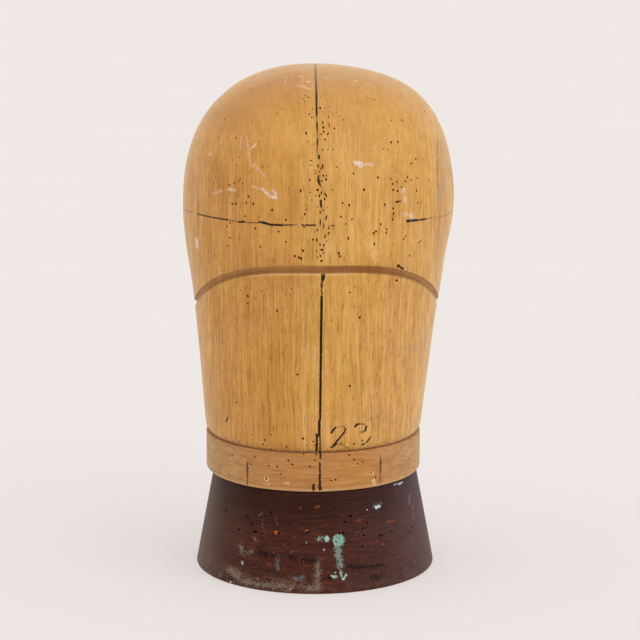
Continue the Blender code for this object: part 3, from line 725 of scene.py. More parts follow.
HEAD_MARKS = (
    # Soft brown and grey handling marks, and paler patches where the shellac is thin.
    ("#a87042", 0.3, 0.004, 0.004, True, ((8, (362, 372), (364, 387)),)),
    ("#a08a70", 0.35, 0.003, 0.003, True, ((5, (410, 345.5), (414.5, 348.5)),)),
    ("#e2b478", 0.45, 0.002, 0.002, True, (
        (3.5, (377.5, 441.5), (380.5, 441.5)), (2, (375, 225), (375, 230)), (2.4, (399.6, 280.8)))),
    ("#98784c", 0.6, 0.0016, 0.002, False, (
        (3.6, (375, 81), (378.4, 84.6)), (3, (364.8, 74.8), (369.8, 76.6)))),
    ("#ecd09c", 0.5, 0.0012, 0.0024, False, (
        (2.4, (298.6, 85.8), (304, 86.6)), (2, (304, 87.6), (310.6, 88.8)))),
    # Painted light: soft paler patches under the hat line and on the crown left of the middle.
    ("#e8b45e", 0.26, 0.008, 0.005, True, (
        (22, (352, 240), (422, 238)), (20, (266, 243), (298, 241)), (26, (282, 124), (292, 140)))),
    # Painted shade: soft darker patches on the right of the crown, on the left brow and on the left of the
    # crown.
    ("#b87e40", 0.26, 0.008, 0.005, True, ((24, (346, 122), (378, 146)),)),
    ("#98621e", 0.34, 0.008, 0.005, True, ((20, (214, 172), (226, 190)), (18, (216, 118), (236, 112)))),
    # Greyish brown smudges low on the head, and small paler marks under the hat line.
    ("#a2784c", 0.34, 0.005, 0.005, True, (
        (8, (209, 404), (217, 416)), (8, (376, 411), (390, 420)), (6, (390, 346), (422, 350)))),
    ("#f0c88e", 0.34, 0.003, 0.005, True, ((7, (372, 244), (374, 256)), (5, (327, 244), (329, 250)))),
    # Painted shade on the top left of the crown.
    ("#9c6234", 0.34, 0.006, 0.004, False, ((12, (252, 92), (296, 78)),)),
    # Faint scratches and smears that whitened the shellac.
    ("#e6d5c2", 0.42, 0.0005, 0.0012, True, (
        (1, (241.2, 137), (240.4, 143), (240.7, 150)), (1, (247, 137.7), (248.8, 149.3)),
        (1, (247.9, 152), (251.4, 164.5), (256.8, 169.8)), (1, (254.1, 163.6), (265.7, 177)),
        (1.5, (251.4, 185.9), (257.2, 188.2), (262.4, 189)), (2.4, (227.5, 189.8), (234, 189.4)),
        (1.8, (213, 194), (222, 190.4)), (1.4, (214.6, 263)), (1.2, (195.4, 265)), (1.4, (220, 273)))),
    ("#e9dac8", 0.6, 0.0004, 0.0006, False, (
        (0.8, (294, 66.7), (300, 66.5)), (0.8, (296.5, 68.6), (303.5, 68.4)))),
    # White paint: specks on the crown, a splash over the right brow and chips on the left.
    ("#e6dad2", 0.9, 0.0003, 0.0005, False, (
        (2.4, (308, 81.8), (308.8, 81.7)), (1.5, (285.2, 80.4)), (0.7, (285.6, 77.3), (287.8, 76.9)),
        (0.9, (298.5, 76.8), (303, 76.2)), (0.9, (322, 77.6), (328, 77.2)),
        (1.2, (355.2, 80.4), (358, 80.7)), (1.2, (402, 88.6), (408, 91.4)))),
    ("#dccfc6", 0.8, 0.0006, 0.0013, True, (
        (3, (355, 161.8), (357.6, 163)), (4.6, (357.6, 163.6), (361.4, 164.2)),
        (2.4, (359.6, 166.4), (361.2, 166.8)), (2.2, (262.4, 188.8), (266, 192.4), (270.3, 195.9)),
        (3.2, (270.3, 196.4), (276.2, 197.8)), (2, (272.4, 189.8), (276, 194.6)),
        (1.4, (255.6, 143.8), (253, 146.8)))),
    ("#e2d8d2", 0.85, 0.0005, 0.002, True, (
        (2.6, (196.6, 239.6), (196.9, 243.8)), (1.7, (197.4, 244), (197, 247.8)))),
    ("#dfcfc4", 0.54, 0.0009, 0.0014, True, (
        (1.8, (364, 164.2), (372.4, 164.6)), (1.2, (253, 146.8), (250.5, 149.3)),
        (1.2, (209.8, 154.2), (212.4, 154)), (3.4, (403.1, 189.2), (403.4, 191.6)),
        (3.2, (404.8, 197.6), (405, 200.4)), (3.8, (410.6, 215.2), (412, 217.4)),
        (1.6, (404, 214), (409, 214.6)), (1.7, (229.6, 189.6), (233.6, 190.2)))),
    # The size, written by hand, and the maker's ticks: first the faded strokes, then the dark ones.
    ("#3a2a1a", 0.7, 0.0004, 0.0009, True, (
        (1.3, (335.7, 427.2), (342.5, 426.3), (345.2, 427.4)),
        (1.8, (337.6, 443.4), (341, 443.6), (344.6, 445.6)), (2.3, (359.3, 423.5), (364, 424.5)),
        (2.4, (364.6, 431.3), (360.6, 432.5)), (1.6, (359.6, 434.5)))),
    ("#84704e", 0.6, 0.0008, 0.0016, True, ((2, (367.6, 420.3), (373, 418.4), (378.5, 416)),)),
    (INK, 0.95, 0.00022, 0.0006, True, (
        (1.3, (302.4, 224.6), (303.2, 226), (304.6, 227.2)),
        (1.5, (227.6, 417.8), (226.8, 420), (225.8, 422.2)), (1.9, (396, 202), (400, 201.1)),
        (2, (398.6, 266.2), (403, 268.4)), (2.9, (316.9, 434.6), (316.8, 442), (316.7, 450.4)),
        (2.2, (331.1, 432.6), (333, 430), (335.4, 428)),
        (1.9, (345.6, 428.6), (344.8, 431.4), (341, 436.6)), (2.1, (341, 436.6), (334, 444.4)),
        (2.6, (336.4, 443.7), (331.4, 447.4)), (2, (347.2, 447.4)), (2.6, (355, 426.4), (358, 424)),
        (2.1, (366.2, 426.4), (365.3, 430.6)), (1.7, (370.1, 437.6), (368.6, 440), (366.6, 442.4)),
        (1.9, (364.2, 443.9), (361.4, 445)))),
    # Stains along the joint of the outer plank.
    ("#b0804e", 0.55, 0.0016, 0.0018, True, (
        (7, (441.2, 140), (441.4, 204)), (4, (439.8, 206), (439, 243)))),
    ("#7a4522", 0.7, 0.0003, 0.001, True, (
        (1.2, (437.4, 142), (437.6, 165), (437.6, 186)), (1.6, (436.8, 167)))),
    ("#a8603a", 0.6, 0.0007, 0.0012, True, (
        (2.4, (438.4, 184), (438.6, 191)), (1.2, (437.6, 190), (437.8, 212)))),
    ("#9c8468", 0.7, 0.001, 0.0014, True, (
        (3.6, (443.2, 176), (442.4, 190)), (3.6, (439.6, 194), (439.6, 202)),
        (2, (446.2, 161), (446.4, 168)))),
)
BACK_LINE_HEIGHT = NECK_PLANE + 0.1386
BACK_LINE_X = NECK_X + 0.002

centre_line = []
for down, across, width, darkness in CENTRE_LINE_PIXELS:
    point, _ = seen(head, across, down)
    centre_line.append((point.z, point.x, width * PIXEL_SIZE, darkness))
centre_line.reverse()
hat_line = []
for across, down, width, darkness in HAT_LINE_PIXELS:
    point, _ = seen(head, across, down)
    hat_line.append((point.x, point.z, width * PIXEL_SIZE, darkness))
head_marks = laid_marks(head, HEAD_MARKS)


BACK_LINE_WIDTH = 0.0009
BACK_WANDER = 0.004
BACK_WANDER_SIZE = 0.030
BACK_GAP_SIZE = 0.012
INK_FIBRE_SIZE = 0.0009
INK_RAGGEDNESS = 0.0006
INK_EDGE = (0.00045, 0.00020)


def drawn_cover(tree, place, across, line, behind):
    """How much of a hand-drawn line covers each point. Behind the head it is fainter and broken."""
    axes = node(tree, "SeparateXYZ", {"Vector": place})
    along = axes.outputs["Z" if across == "X" else "X"]
    in_front = node(tree, "Math", {0: axes.outputs["Y"], 1: 0.0}, operation="LESS_THAN")
    wander = node(tree, "TexNoise", {"Vector": place, "Scale": 1.0 / BACK_WANDER_SIZE, "Detail": 1.0})
    wander = node(tree, "Math", {0: wander, 1: BACK_WANDER, 2: behind - BACK_WANDER / 2.0},
                  operation="MULTIPLY_ADD")
    gaps = node(tree, "TexNoise", {"Vector": place, "Scale": 1.0 / BACK_GAP_SIZE, "Detail": 2.0})
    gaps = node(tree, "MapRange", {"Value": gaps, "From Min": 0.42, "From Max": 0.58, "To Max": 0.7})
    path, width, darkness = (
        node(tree, "Mix", {
            0: in_front, 2: at_back, 3: hand_curve(tree, along, [(spot[0], spot[part]) for spot in line])})
        for part, at_back in ((1, wander), (2, BACK_LINE_WIDTH), (3, gaps)))
    offset = node(tree, "Math", {0: axes.outputs[across], 1: path}, operation="SUBTRACT")
    offset = node(tree, "Math", {0: offset}, operation="ABSOLUTE")
    offset = node(tree, "Math", {0: width, 1: -0.5, 2: offset}, operation="MULTIPLY_ADD")
    ragged = node(tree, "TexNoise", {"Vector": place, "Scale": 1.0 / INK_FIBRE_SIZE, "Detail": 2.0})
    offset = node(tree, "Math", {0: ragged, 1: INK_RAGGEDNESS, 2: offset}, operation="MULTIPLY_ADD")
    return node(tree, "MapRange", {
        "Value": offset, "From Min": INK_EDGE[0], "From Max": INK_EDGE[1], "To Max": darkness})


CALM_FROM = CROWN_TOP - 0.085
CALM_TO = CROWN_TOP - 0.030
CROWN_SHADE_FROM = CROWN_TOP - 0.036
LIP_HIGHLIGHT_REACH = (0.0040, 0.0032)
GROOVE_SHADE_SPREAD = (0.0030, 0.0014)
HEAD_RELIEF = 0.00015
LEFT_JOINT = -0.0083
RIGHT_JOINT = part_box("head_plank_right")[0].x
STROKE_REACH = 0.008


def head_wood(name, shift, yellow, pink, low, high):
    """Close-grained hardwood under old amber shellac, with the marks of its plank between two X places."""
    material, tree, place = new_material(name)
    tone, hue, pores = grain(tree, place, (0.0, 0.0, 0.0), shift)
    axes = node(tree, "SeparateXYZ", {"Vector": place})
    calm = node(tree, "MapRange", {
        "Value": axes.outputs["Z"], "From Min": CALM_FROM, "From Max": CALM_TO, "To Max": 0.38})
    tone = node(tree, "Mix", {0: calm, 2: tone, 3: 0.53})
    pores = node(tree, "Mix", {0: calm, 2: pores, 3: 0.0})
    # Painted shade: the wood is coloured darker towards the top of the crown.
    dull = node(tree, "MapRange", {
        "Value": axes.outputs["Z"], "From Min": CROWN_SHADE_FROM, "From Max": CROWN_TOP, "To Max": 0.50})
    away = node(tree, "Attribute", attribute_name="groove_distance").outputs["Fac"]
    over = node(tree, "Attribute", attribute_name="groove_height").outputs["Fac"]
    # Painted highlight: the wood below the tie groove is coloured paler within a few millimetres of it, over
    # the front of the head.
    lip_highlight = node(tree, "MapRange", {"Value": away, "From Min": LIP_HIGHLIGHT_REACH[0], "From Max": LIP_HIGHLIGHT_REACH[1]})
    below = node(tree, "MapRange", {"Value": over, "From Min": 0.0, "From Max": -0.0010})
    fading_share = hand_curve(tree, axes.outputs["X"], ((-0.045, 0.0), (-0.025, 0.40), (0.018, 0.40), (0.032, 0.0)))
    for share in (below, fading_share):
        lip_highlight = node(tree, "Math", {0: lip_highlight, 1: share}, operation="MULTIPLY")
    # Dirt and painted shade in the tie groove: the wood is coloured darker within about three millimetres of
    # the groove's bottom, darkest on its lower side and right of the middle.
    settled = node(tree, "MapRange", {"Value": over, "From Min": 0.0010, "From Max": -0.0012})
    groove_darkening_to_right = hand_curve(tree, axes.outputs["X"], (
        (-0.080, 0.10), (-0.005, 0.15), (0.012, 0.60), (0.038, 0.75), (0.050, 0.25), (0.080, 0.15)))
    upper_groove_dirt_and_shade = coated(tree, "#9e6a3a", (tone, "#c28e58"))
    lower_groove_dirt_and_shade = coated(tree, "#724319", (tone, "#8e5a28"))
    groove_dirt_and_shade_colour = coated(tree, upper_groove_dirt_and_shade, (settled, lower_groove_dirt_and_shade), (groove_darkening_to_right, "#713f10"))
    spread = node(tree, "Math", {0: over, 1: 0.08, 2: away}, operation="MULTIPLY_ADD")
    groove_dirt_and_shade = node(tree, "MapRange", {
        "Value": spread, "From Min": GROOVE_SHADE_SPREAD[0], "From Max": GROOVE_SHADE_SPREAD[1]},
        interpolation_type="SMOOTHSTEP")
    groove_dirt_and_shade_share = node(tree, "Math", {0: groove_dirt_and_shade, 1: 0.95}, operation="MULTIPLY")
    drawn = drawn_cover(tree, place, "Z", hat_line, BACK_LINE_HEIGHT)
    if low < 0.0 < high:
        upright = drawn_cover(tree, place, "X", centre_line, BACK_LINE_X)
        drawn = node(tree, "Math", {0: drawn, 1: upright}, operation="MAXIMUM")
    clean = node(tree, "Math", {0: 1.0, 1: groove_dirt_and_shade}, operation="SUBTRACT")
    drawn = node(tree, "Math", {0: drawn, 1: clean}, operation="MULTIPLY")
    colour = grained_colour(tree, tone, hue, pores, yellow, pink, 0.48)
    colour = coated(tree, colour, (dull, "#a86e3c"), (lip_highlight, "#f0c88a"), (groove_dirt_and_shade_share, groove_dirt_and_shade_colour), (drawn, INK))
    colour = marked(tree, place, colour, head_marks, low, high)
    roughness = node(tree, "MapRange", {"Value": tone, "To Min": 0.55, "To Max": 0.45})
    varnished(tree, colour, roughness, tone, HEAD_RELIEF, 0.14, 0.50)
    return material


LEFT_WOOD = head_wood(
    "shellacked_hardwood_left", (0.075, -0.210, 0.0), ("#ab722d", "#d9a352"), ("#aa6e33", "#d79f5a"),
    -1.0, LEFT_JOINT + STROKE_REACH)
CENTRE_WOOD = head_wood(
    "shellacked_hardwood_centre", (0.060, -0.190, 0.3), ("#ae7834", "#e0ae5a"), ("#ae773a", "#deac68"),
    LEFT_JOINT - STROKE_REACH, RIGHT_JOINT + STROKE_REACH)
OUTER_WOOD = head_wood(
    "shellacked_hardwood_outer", (-0.140, -0.120, 0.7), ("#b07a38", "#e2b060"), ("#a87036", "#d6a25e"),
    RIGHT_JOINT - STROKE_REACH, 1.0)


# The screws and dowels that hold the block together run through its pieces in clean bores. They
# are the frame's own pieces: slotted steel wood screws, and plain beech dowels.
SCREW_SIDES = ("front_left", "front_right", "back_left", "back_right")
SCREW_SHANK = 0.0060
SCREW_HEAD = 0.0030
BORE_GAP = 0.0003
BORE_SIDES = 32


def bore_cutter(node_name, width, head_height):
    """A round bore for a screw or dowel of the frame; a screw's has a countersink for its head."""
    low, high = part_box(node_name)
    middle = (low + high) / 2.0
    cutter = start_shape("bore_cutter", BORE_SIDES, width / 2.0 + BORE_GAP,
                         (middle.x, middle.y, high.z + BORE_GAP))
    bottom = low.z - BORE_GAP if head_height == 0.0 else low.z + head_height
    extrude((0.0, 0.0, bottom - high.z - BORE_GAP))
    if head_height:
        wide = (high.x - low.x) / width
        extrude((0.0, 0.0, -head_height))
        bpy.ops.transform.resize(value=(wide, wide, 1.0), center_override=(middle.x, middle.y, 0.0))
        extrude((0.0, 0.0, -low.z - BORE_GAP))
    close_shape(cutter)
    return cutter


def bore(piece, wood):
    """Cuts all the screw and dowel bores out of a piece."""
    for side in SCREW_SIDES:
        cutter = bore_cutter(f"base_screw_{side}", SCREW_SHANK, SCREW_HEAD)
        cutter.data.materials.append(wood)
        cut(piece, cutter)
    for side in ("left", "right"):
        low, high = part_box(f"collar_dowel_{side}")
        cutter = bore_cutter(f"collar_dowel_{side}", high.x - low.x, 0.0)
        cutter.data.materials.append(wood)
        cut(piece, cutter)


head.data.materials.append(CENTRE_WOOD)
for groove_cutter in (groove_lip, groove_gouge):
    groove_cutter.data.materials.append(CENTRE_WOOD)
    cut(head, groove_cutter)
drill(head, pin, pins)
bore(head, CENTRE_WOOD)


# The head was glued up from three planks before it was carved: a left one, a thick middle one and
# a thin outer one on the right cheek, which runs out in the tie groove. The joints hardly show.
LEFT_GLUE = 0.00004
RIGHT_GLUE = 0.00010
PLANK_END_TURN = math.radians(17.5)
PLANK_END_DROP = groove_height(GROOVE_TURN - PLANK_END_TURN) - groove_height(GROOVE_TURN + PLANK_END_TURN)
CHEEK_TILT = math.atan(PLANK_END_DROP / ((CHEEK_FRONT + CHEEK_BACK) * math.sin(PLANK_END_TURN)))
CUTTER_SIZE = 0.40
SMOOTH_ANGLE = math.radians(35.0)


def copy_of(piece, name):
    """The same piece again under a new name, with a mesh of its own."""
    twin = bpy.data.objects.new(name, piece.data.copy())
    twin.data.name = name
    bpy.context.scene.collection.objects.link(twin)
    return twin


def cheek_cutter(gap, wood):
    """The space of the outer plank: right of its joint, and over the tie groove."""
    bpy.ops.object.select_all(action="DESELECT")
    bpy.ops.mesh.primitive_cube_add(size=CUTTER_SIZE, location=(0.0, 0.0, CUTTER_SIZE / 2.0))
    cutter = bpy.context.object
    cutter.matrix_world = (Matrix.Translation((RIGHT_JOINT + CUTTER_SIZE / 2.0 + gap, 0.0,
                                               NECK_PLANE + GROOVE_SIDE_HEIGHT + gap))
                           @ Matrix.Rotation(-CHEEK_TILT, 4, "X")
                           @ Matrix.Translation((0.0, 0.0, CUTTER_SIZE / 2.0)))
    bpy.ops.object.transform_apply(location=True, rotation=True, scale=True)
    cutter.data.materials.append(wood)
    return cutter


def survey_groove(piece):
    """Notes for the material how far each point is from the tie groove's bottom, and how high over it."""
    places = KDTree(len(groove_path))
    for index, place in enumerate(groove_path):
        places.insert(place, index)
    places.balance()
    distances = piece.data.attributes.new("groove_distance", "FLOAT", "POINT")
    heights = piece.data.attributes.new("groove_height", "FLOAT", "POINT")
    for index, point in enumerate(piece.data.vertices):
        nearest, _, distance = places.find(point.co)
        distances.data[index].value = distance
        heights.data[index].value = point.co.z - nearest.z


def shade_smooth(piece):
    """Shades the piece round, with its sharp edges kept."""
    select_only(piece)
    bpy.ops.object.shade_smooth_by_angle(angle=SMOOTH_ANGLE)


left_plank = copy_of(head, "carved_left_plank")
outer_plank = copy_of(head, "carved_outer_plank")
centre_plank = copy_of(head, "carved_centre_plank")
bpy.data.objects.remove(head, do_unlink=True)
keep_behind(left_plank, (LEFT_JOINT - LEFT_GLUE / 2.0, 0.0, 0.0), (1.0, 0.0, 0.0))
keep_behind(centre_plank, (LEFT_JOINT + LEFT_GLUE / 2.0, 0.0, 0.0), (-1.0, 0.0, 0.0))
cut(centre_plank, cheek_cutter(-RIGHT_GLUE / 2.0, CENTRE_WOOD))
cut(outer_plank, cheek_cutter(RIGHT_GLUE / 2.0, CENTRE_WOOD), operation="INTERSECT")
for plank, wood, cad_node in (
    (left_plank, LEFT_WOOD, "head_plank_left"),
    (centre_plank, CENTRE_WOOD, "head_plank_centre"),
    (outer_plank, OUTER_WOOD, "head_plank_right"),
):
    for index, material in enumerate(plank.data.materials):
        if material is not PIN_WOOD:
            plank.data.materials[index] = wood
    survey_groove(plank)
    shade_smooth(plank)
    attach(plank, "root")
    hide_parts(cad_node)


# The collar is a board of the same wood, with its grain across, sawn to an oval a little larger
# than the neck. Its lower edge is rounded over, and it is screwed and dowelled under the head.
COLLAR_LOW, COLLAR_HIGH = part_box("collar_board")
COLLAR_BOTTOM = COLLAR_LOW.z
COLLAR_HALF_WIDTH = (COLLAR_HIGH.x - COLLAR_LOW.x) / 2.0
COLLAR_HALF_DEPTH = (COLLAR_HIGH.y - COLLAR_LOW.y) / 2.0
COLLAR_SIDES = 160
COLLAR_LAYERS = 8
LOWER_EDGE_ROUND = 0.0026
UPPER_EDGE_ROUND = 0.0004
SANDING_SIZE = 0.030
SANDING_DEPTH = 0.0004


def oval_board(name, middle, half_width, half_depth, bottom, top, sides, layers, widening):
    """Extrudes an oval board upwards in layers. Widening is how much wider its top is than its bottom."""
    board = start_shape(name, sides, half_width, (middle, 0.0, bottom))
    bpy.ops.transform.resize(value=(1.0, half_depth / half_width, 1.0), center_override=(middle, 0.0, 0.0))
    rise = (top - bottom) / layers
    step = widening / layers
    for layer in range(layers):
        extrude((0.0, 0.0, rise))
        old_width = half_width + step * layer
        old_depth = half_depth + step * layer
        bpy.ops.transform.resize(value=((old_width + step) / old_width, (old_depth + step) / old_depth, 1.0),
                                 center_override=(middle, 0.0, 0.0))
    close_shape(board)
    return board


def round_edge(board, level, radius, segments):
    """Rounds the edge of a board at a level."""
    select_only(board)
    bpy.ops.object.mode_set(mode="EDIT")
    bpy.ops.mesh.select_mode(type="VERT")
    select_points(board, lambda place: abs(place.z - level) < LEVEL_TOLERANCE)
    bpy.ops.mesh.bevel(offset=radius, segments=segments, affect="EDGES")
    bpy.ops.object.mode_set(mode="OBJECT")


COLLAR_MARKS = (
    # Bruised pale rims round some pin holes, and chips on the lower edge.
    ("#dfc096", 0.75, 0.0004, 0.0008, True, (
        (3.6, (244.4, 459.2)), (3.8, (266, 477), (266.6, 479.6)), (3.6, (371.8, 473.6)),
        (3.4, (373.5, 480.5), (374.5, 484)), (1.2, (264, 484), (269, 484.4)))),
    ("#cbb8a0", 0.55, 0.0008, 0.0012, True, ((3.2, (285.5, 483.4), (288, 483.2)),)),
    ("#a5683c", 0.45, 0.0009, 0.001, True, (
        (2.2, (277.3, 466.7)), (2, (292.4, 464.4)), (2, (268.5, 465.9)))),
    # The centre line, the ticks beside it and two more on the cheeks.
    (INK, 0.93, 0.00016, 0.0007, True, (
        (2.2, (320.4, 453.8), (320.4, 458.2)), (1.8, (319.9, 462.4), (319.8, 473.6)),
        (2.4, (319.7, 474.6), (319.6, 480.6)), (3, (319.9, 482.8), (320, 489.4)),
        (3.1, (313.5, 485.2), (313.5, 489.4)))),
    ("#33200f", 0.85, 0.0003, 0.0007, True, (
        (1.6, (380.6, 459), (380.4, 472)), (2, (247.3, 463.4), (247.4, 472)),
        (1.5, (247.4, 472), (247.4, 477)))),
    ("#4a3018", 0.75, 0.0003, 0.0007, True, (
        (1, (380.9, 456), (380.6, 460)), (1.3, (380.4, 472), (380.2, 483.4)),
        (1.6, (247.4, 477), (247.4, 484.6)))),
)
LEFT_TICK_PIXEL = (247.4, 474.0)
RIGHT_TICK_PIXEL = (380.2, 474.0)
COLLAR_PIN_PIXELS = (
    (232.9, 454.8), (244.4, 459), (254.7, 456.4), (288.4, 460.6), (277.3, 466.7), (292.4, 464.4),
    (309.8, 466.7), (314.8, 460), (266.2, 477), (266.4, 479.2), (268.5, 465.9), (316.2, 454.5),
    (349.4, 455.2), (357.8, 463.9), (335.6, 479.7), (331.4, 480.5), (371.6, 473), (375.4, 477.4),
    (362.8, 462.1), (354, 459.4), (251.3, 464.4), (280.3, 474), (303.7, 453.9),
)
collar = oval_board("oval_collar_board", NECK_X, COLLAR_HALF_WIDTH, COLLAR_HALF_DEPTH,
                    COLLAR_BOTTOM, COLLAR_TOP, COLLAR_SIDES, COLLAR_LAYERS, 0.0)
round_edge(collar, COLLAR_BOTTOM, LOWER_EDGE_ROUND, 5)
round_edge(collar, COLLAR_TOP, UPPER_EDGE_ROUND, 2)
wear_uneven(collar, "collar_sanding", SANDING_SIZE, SANDING_DEPTH)
finish_modifiers(collar)
bpy.context.view_layer.update()
collar_marks = laid_marks(collar, COLLAR_MARKS)
LEFT_TICK_X = seen(collar, *LEFT_TICK_PIXEL)[0].x
RIGHT_TICK_X = seen(collar, *RIGHT_TICK_PIXEL)[0].x


BLUSH_DEPTH = 0.006
WORN_AND_LIT_EDGE = (0.0026, 0.0012)
GREY_BLUR = 0.004
TICK_BLUR = 0.0004
BOARD_PIN_TILT = 30


def collar_wood(name):
    """Hardwood under thin shellac with its grain across: warm between the ticks, greyer outside them."""
    material, tree, place = new_material(name)
    tone, hue, pores = grain(tree, place, (0.0, math.radians(90.0), 0.0), (0.02, -0.150, 1.1))
    axes = node(tree, "SeparateXYZ", {"Vector": place})
    grey = hand_curve(tree, axes.outputs["X"], (
        (-0.070, 0.85), (LEFT_TICK_X - GREY_BLUR, 0.60), (LEFT_TICK_X + GREY_BLUR, 0.18), (0.0, 0.0),
        (RIGHT_TICK_X - TICK_BLUR, 0.05), (RIGHT_TICK_X + TICK_BLUR, 0.50), (0.070, 0.80)))
    greyed = coated(tree, "#946a3e", (tone, "#c49c6c"))
    blush = node(tree, "MapRange", {
        "Value": axes.outputs["Z"], "From Min": COLLAR_TOP - BLUSH_DEPTH, "From Max": COLLAR_TOP,
        "To Max": 0.22})
    # Wear and painted light: the rounded lower edge, which faces down, is coloured paler towards the bottom.
    worn = node(tree, "MapRange", {
        "Value": axes.outputs["Z"], "From Min": COLLAR_BOTTOM + WORN_AND_LIT_EDGE[0],
        "From Max": COLLAR_BOTTOM + WORN_AND_LIT_EDGE[1], "To Max": 0.75})
    colour = grained_colour(tree, tone, hue, pores, ("#a06930", "#c6924e"), ("#9c6436", "#bd8653"), 0.30)
    colour = coated(tree, colour, (grey, greyed), (blush, "#aa6c42"), (worn, "#d8ab78"))
    colour = marked(tree, place, colour, collar_marks)
    roughness = node(tree, "MapRange", {"Value": tone, "To Min": 0.58, "To Max": 0.50})
    varnished(tree, colour, roughness, tone, HEAD_RELIEF, 0.14, 0.24)
    return material


def pin_board(board, pixels, narrowest, widest, stretch):
    """Drills pin holes at the pixels on a board, each wider along the board's grain than across it."""
    places = []
    for across, down in pixels:
        point, facing = seen(board, across, down)
        width = PIN_WIDTH * dice.uniform(narrowest, widest)
        tilt = dice.uniform(-BOARD_PIN_TILT, BOARD_PIN_TILT)
        places.append(pin_at(point, facing, width * stretch, width, PIN_DEPTH, tilt))
    drill(board, pin, places)


COLLAR_WOOD = collar_wood("shellacked_collar_wood")
collar.data.materials.append(COLLAR_WOOD)
pin_board(collar, COLLAR_PIN_PIXELS, 0.8, 1.1, 1.2)
bore(collar, COLLAR_WOOD)
shade_smooth(collar)
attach(collar, "root")
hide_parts("collar_board")


# The foot is a thick flared oval, stained dark red-brown and varnished. It was tacked, dripped on with dye
# and paint, and rubbed round its rim by years on the bench; it is dusty and painted with a grey sheen towards
# its sides, and painted shade darkens it under the collar.
FOOT_LOW, FOOT_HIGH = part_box("base_foot")
FOOT_TOP = FOOT_HIGH.z
FOOT_HALF_WIDTH = (FOOT_HIGH.x - FOOT_LOW.x) / 2.0
FOOT_HALF_DEPTH = (FOOT_HIGH.y - FOOT_LOW.y) / 2.0
FOOT_FLARE = 0.0112
FOOT_EDGE_ROUND = 0.0015
FOOT_TOP_ROUND = 0.0006
FOOT_SIDES = 160
FOOT_LAYERS = 10
FOOT_MARKS = (
    # Dried beige paste and grey dust smeared along the lower edge, and pale drips.
    ("#8a7b6b", 0.64, 0.0018, 0.0042, True, (
        (3, (240.5, 545.5), (241.5, 551.5)), (1.6, (243, 552.6), (252, 552)),
        (7.5, (231.5, 571), (237, 575.5)), (4.5, (240, 580.5), (262, 584.5), (292, 586.5)),
        (4, (308, 588.2), (319, 588.6)), (3.6, (318.2, 562), (317.6, 590)), (1.4, (255.5, 538.8)))),
    ("#80868c", 0.45, 0.0012, 0.0024, True, (
        (2, (277, 556), (277.4, 568)), (3.6, (295, 579.2), (303, 577.6)), (2.6, (242.2, 563.3)),
        (2.2, (374.6, 505.8), (381, 504.2)))),
    ("#7b6a64", 0.5, 0.0004, 0.0012, True, (
        (1, (258.8, 515.6), (262.2, 512.4)), (1.2, (291.5, 552.2), (292.5, 551.2)),
        (1.2, (294.9, 537.2)), (2.4, (409.5, 495), (409.5, 504)), (1.2, (262, 520), (262.6, 527)),
        (1, (276, 517), (277, 524)), (1.2, (412.5, 505), (413.5, 518)))),
    # Black burnt smears.
    ("#150e10", 0.92, 0.001, 0.0018, True, (
        (6, (260.5, 553), (265.5, 554.4)), (3.4, (270.5, 556), (276, 556)),
        (4.8, (291, 557.4), (294.5, 558)), (4, (302.5, 559.6), (316.5, 560.6)),
        (3.6, (348, 566.6), (382, 565.4)), (4, (372, 577.6), (379.5, 577)))),
    # Rust and orange dye round some of the holes.
    ("#c0601a", 0.85, 0.0004, 0.0008, True, ((3, (275.4, 532.4), (277, 533.6)), (3.2, (306.9, 531.4)))),
    ("#98481a", 0.72, 0.0005, 0.001, True, (
        (1.8, (284.1, 545.6)), (1.8, (274.2, 552.9)), (1.8, (300.7, 507.1)),
        (2.2, (315.8, 507.2), (318.6, 506.6)), (1.4, (357, 520.6), (360.4, 520.2)),
        (1.4, (388, 521.4), (394.4, 520.6)), (1.6, (377.6, 542.1)),
        (1.6, (382.6, 543.8), (383.8, 544.8)), (1.5, (397.5, 493.2)),
        (1.8, (300.9, 562.4), (303.2, 562.4)))),
    ("#8a3c14", 0.6, 0.001, 0.0014, True, (
        (3.4, (269.6, 564.5)), (3, (263, 533.7)), (2.6, (316.3, 524)), (2.4, (279.6, 533.4)))),
    # Pale green paint: two blobs, a run below them and a splash near the edge.
    ("#83a095", 0.66, 0.0008, 0.0036, True, (
        (6.4, (337.8, 548.5), (338.6, 554)), (5, (339.6, 556), (340.4, 565)), (1.4, (339, 567.6)),
        (3, (318, 538.6), (323.5, 538.2)))),
    ("#82ab9c", 0.92, 0.0004, 0.0018, True, ((10.6, (338.2, 539.6), (339.2, 540.8)),)),
    ("#a2c2b7", 0.92, 0.0004, 0.0011, True, (
        (4.6, (326.4, 538), (327.2, 539.6)), (1.2, (317.9, 538.4)), (1, (306.9, 542.6)),
        (1.3, (324.5, 549.6)), (1.4, (333.6, 541.8), (334.6, 544.6), (337, 546.2)),
        (2.4, (332, 576), (337, 577)), (2.4, (340.7, 571.2), (341.6, 575.4)),
        (2.2, (345.9, 575), (343, 579)), (1.6, (335, 572.6)))),
    ("#4c6a5e", 0.75, 0.0003, 0.0005, True, ((0.9, (334.6, 541.6), (337.4, 543.4), (341, 542.6)),)),
    ("#cfd8da", 0.92, 0.0003, 0.0008, True, (
        (1.6, (398.8, 483.8), (401.8, 482.8)), (1.3, (394.4, 484.6), (395.6, 484.3)),
        (2.8, (376.6, 507.4), (379.4, 506.4)), (0.9, (366.8, 509.8)), (1, (257.6, 578.2)),
        (1, (288.7, 582.4)), (1.1, (290.7, 589)), (1, (242, 562), (242.4, 564.6)),
        (1.2, (230.2, 582), (231.2, 582.2)))),
    ("#a88a3a", 0.8, 0.0003, 0.0004, True, ((0.8, (414.9, 561.2)), (0.8, (405.8, 580.3)))),
)
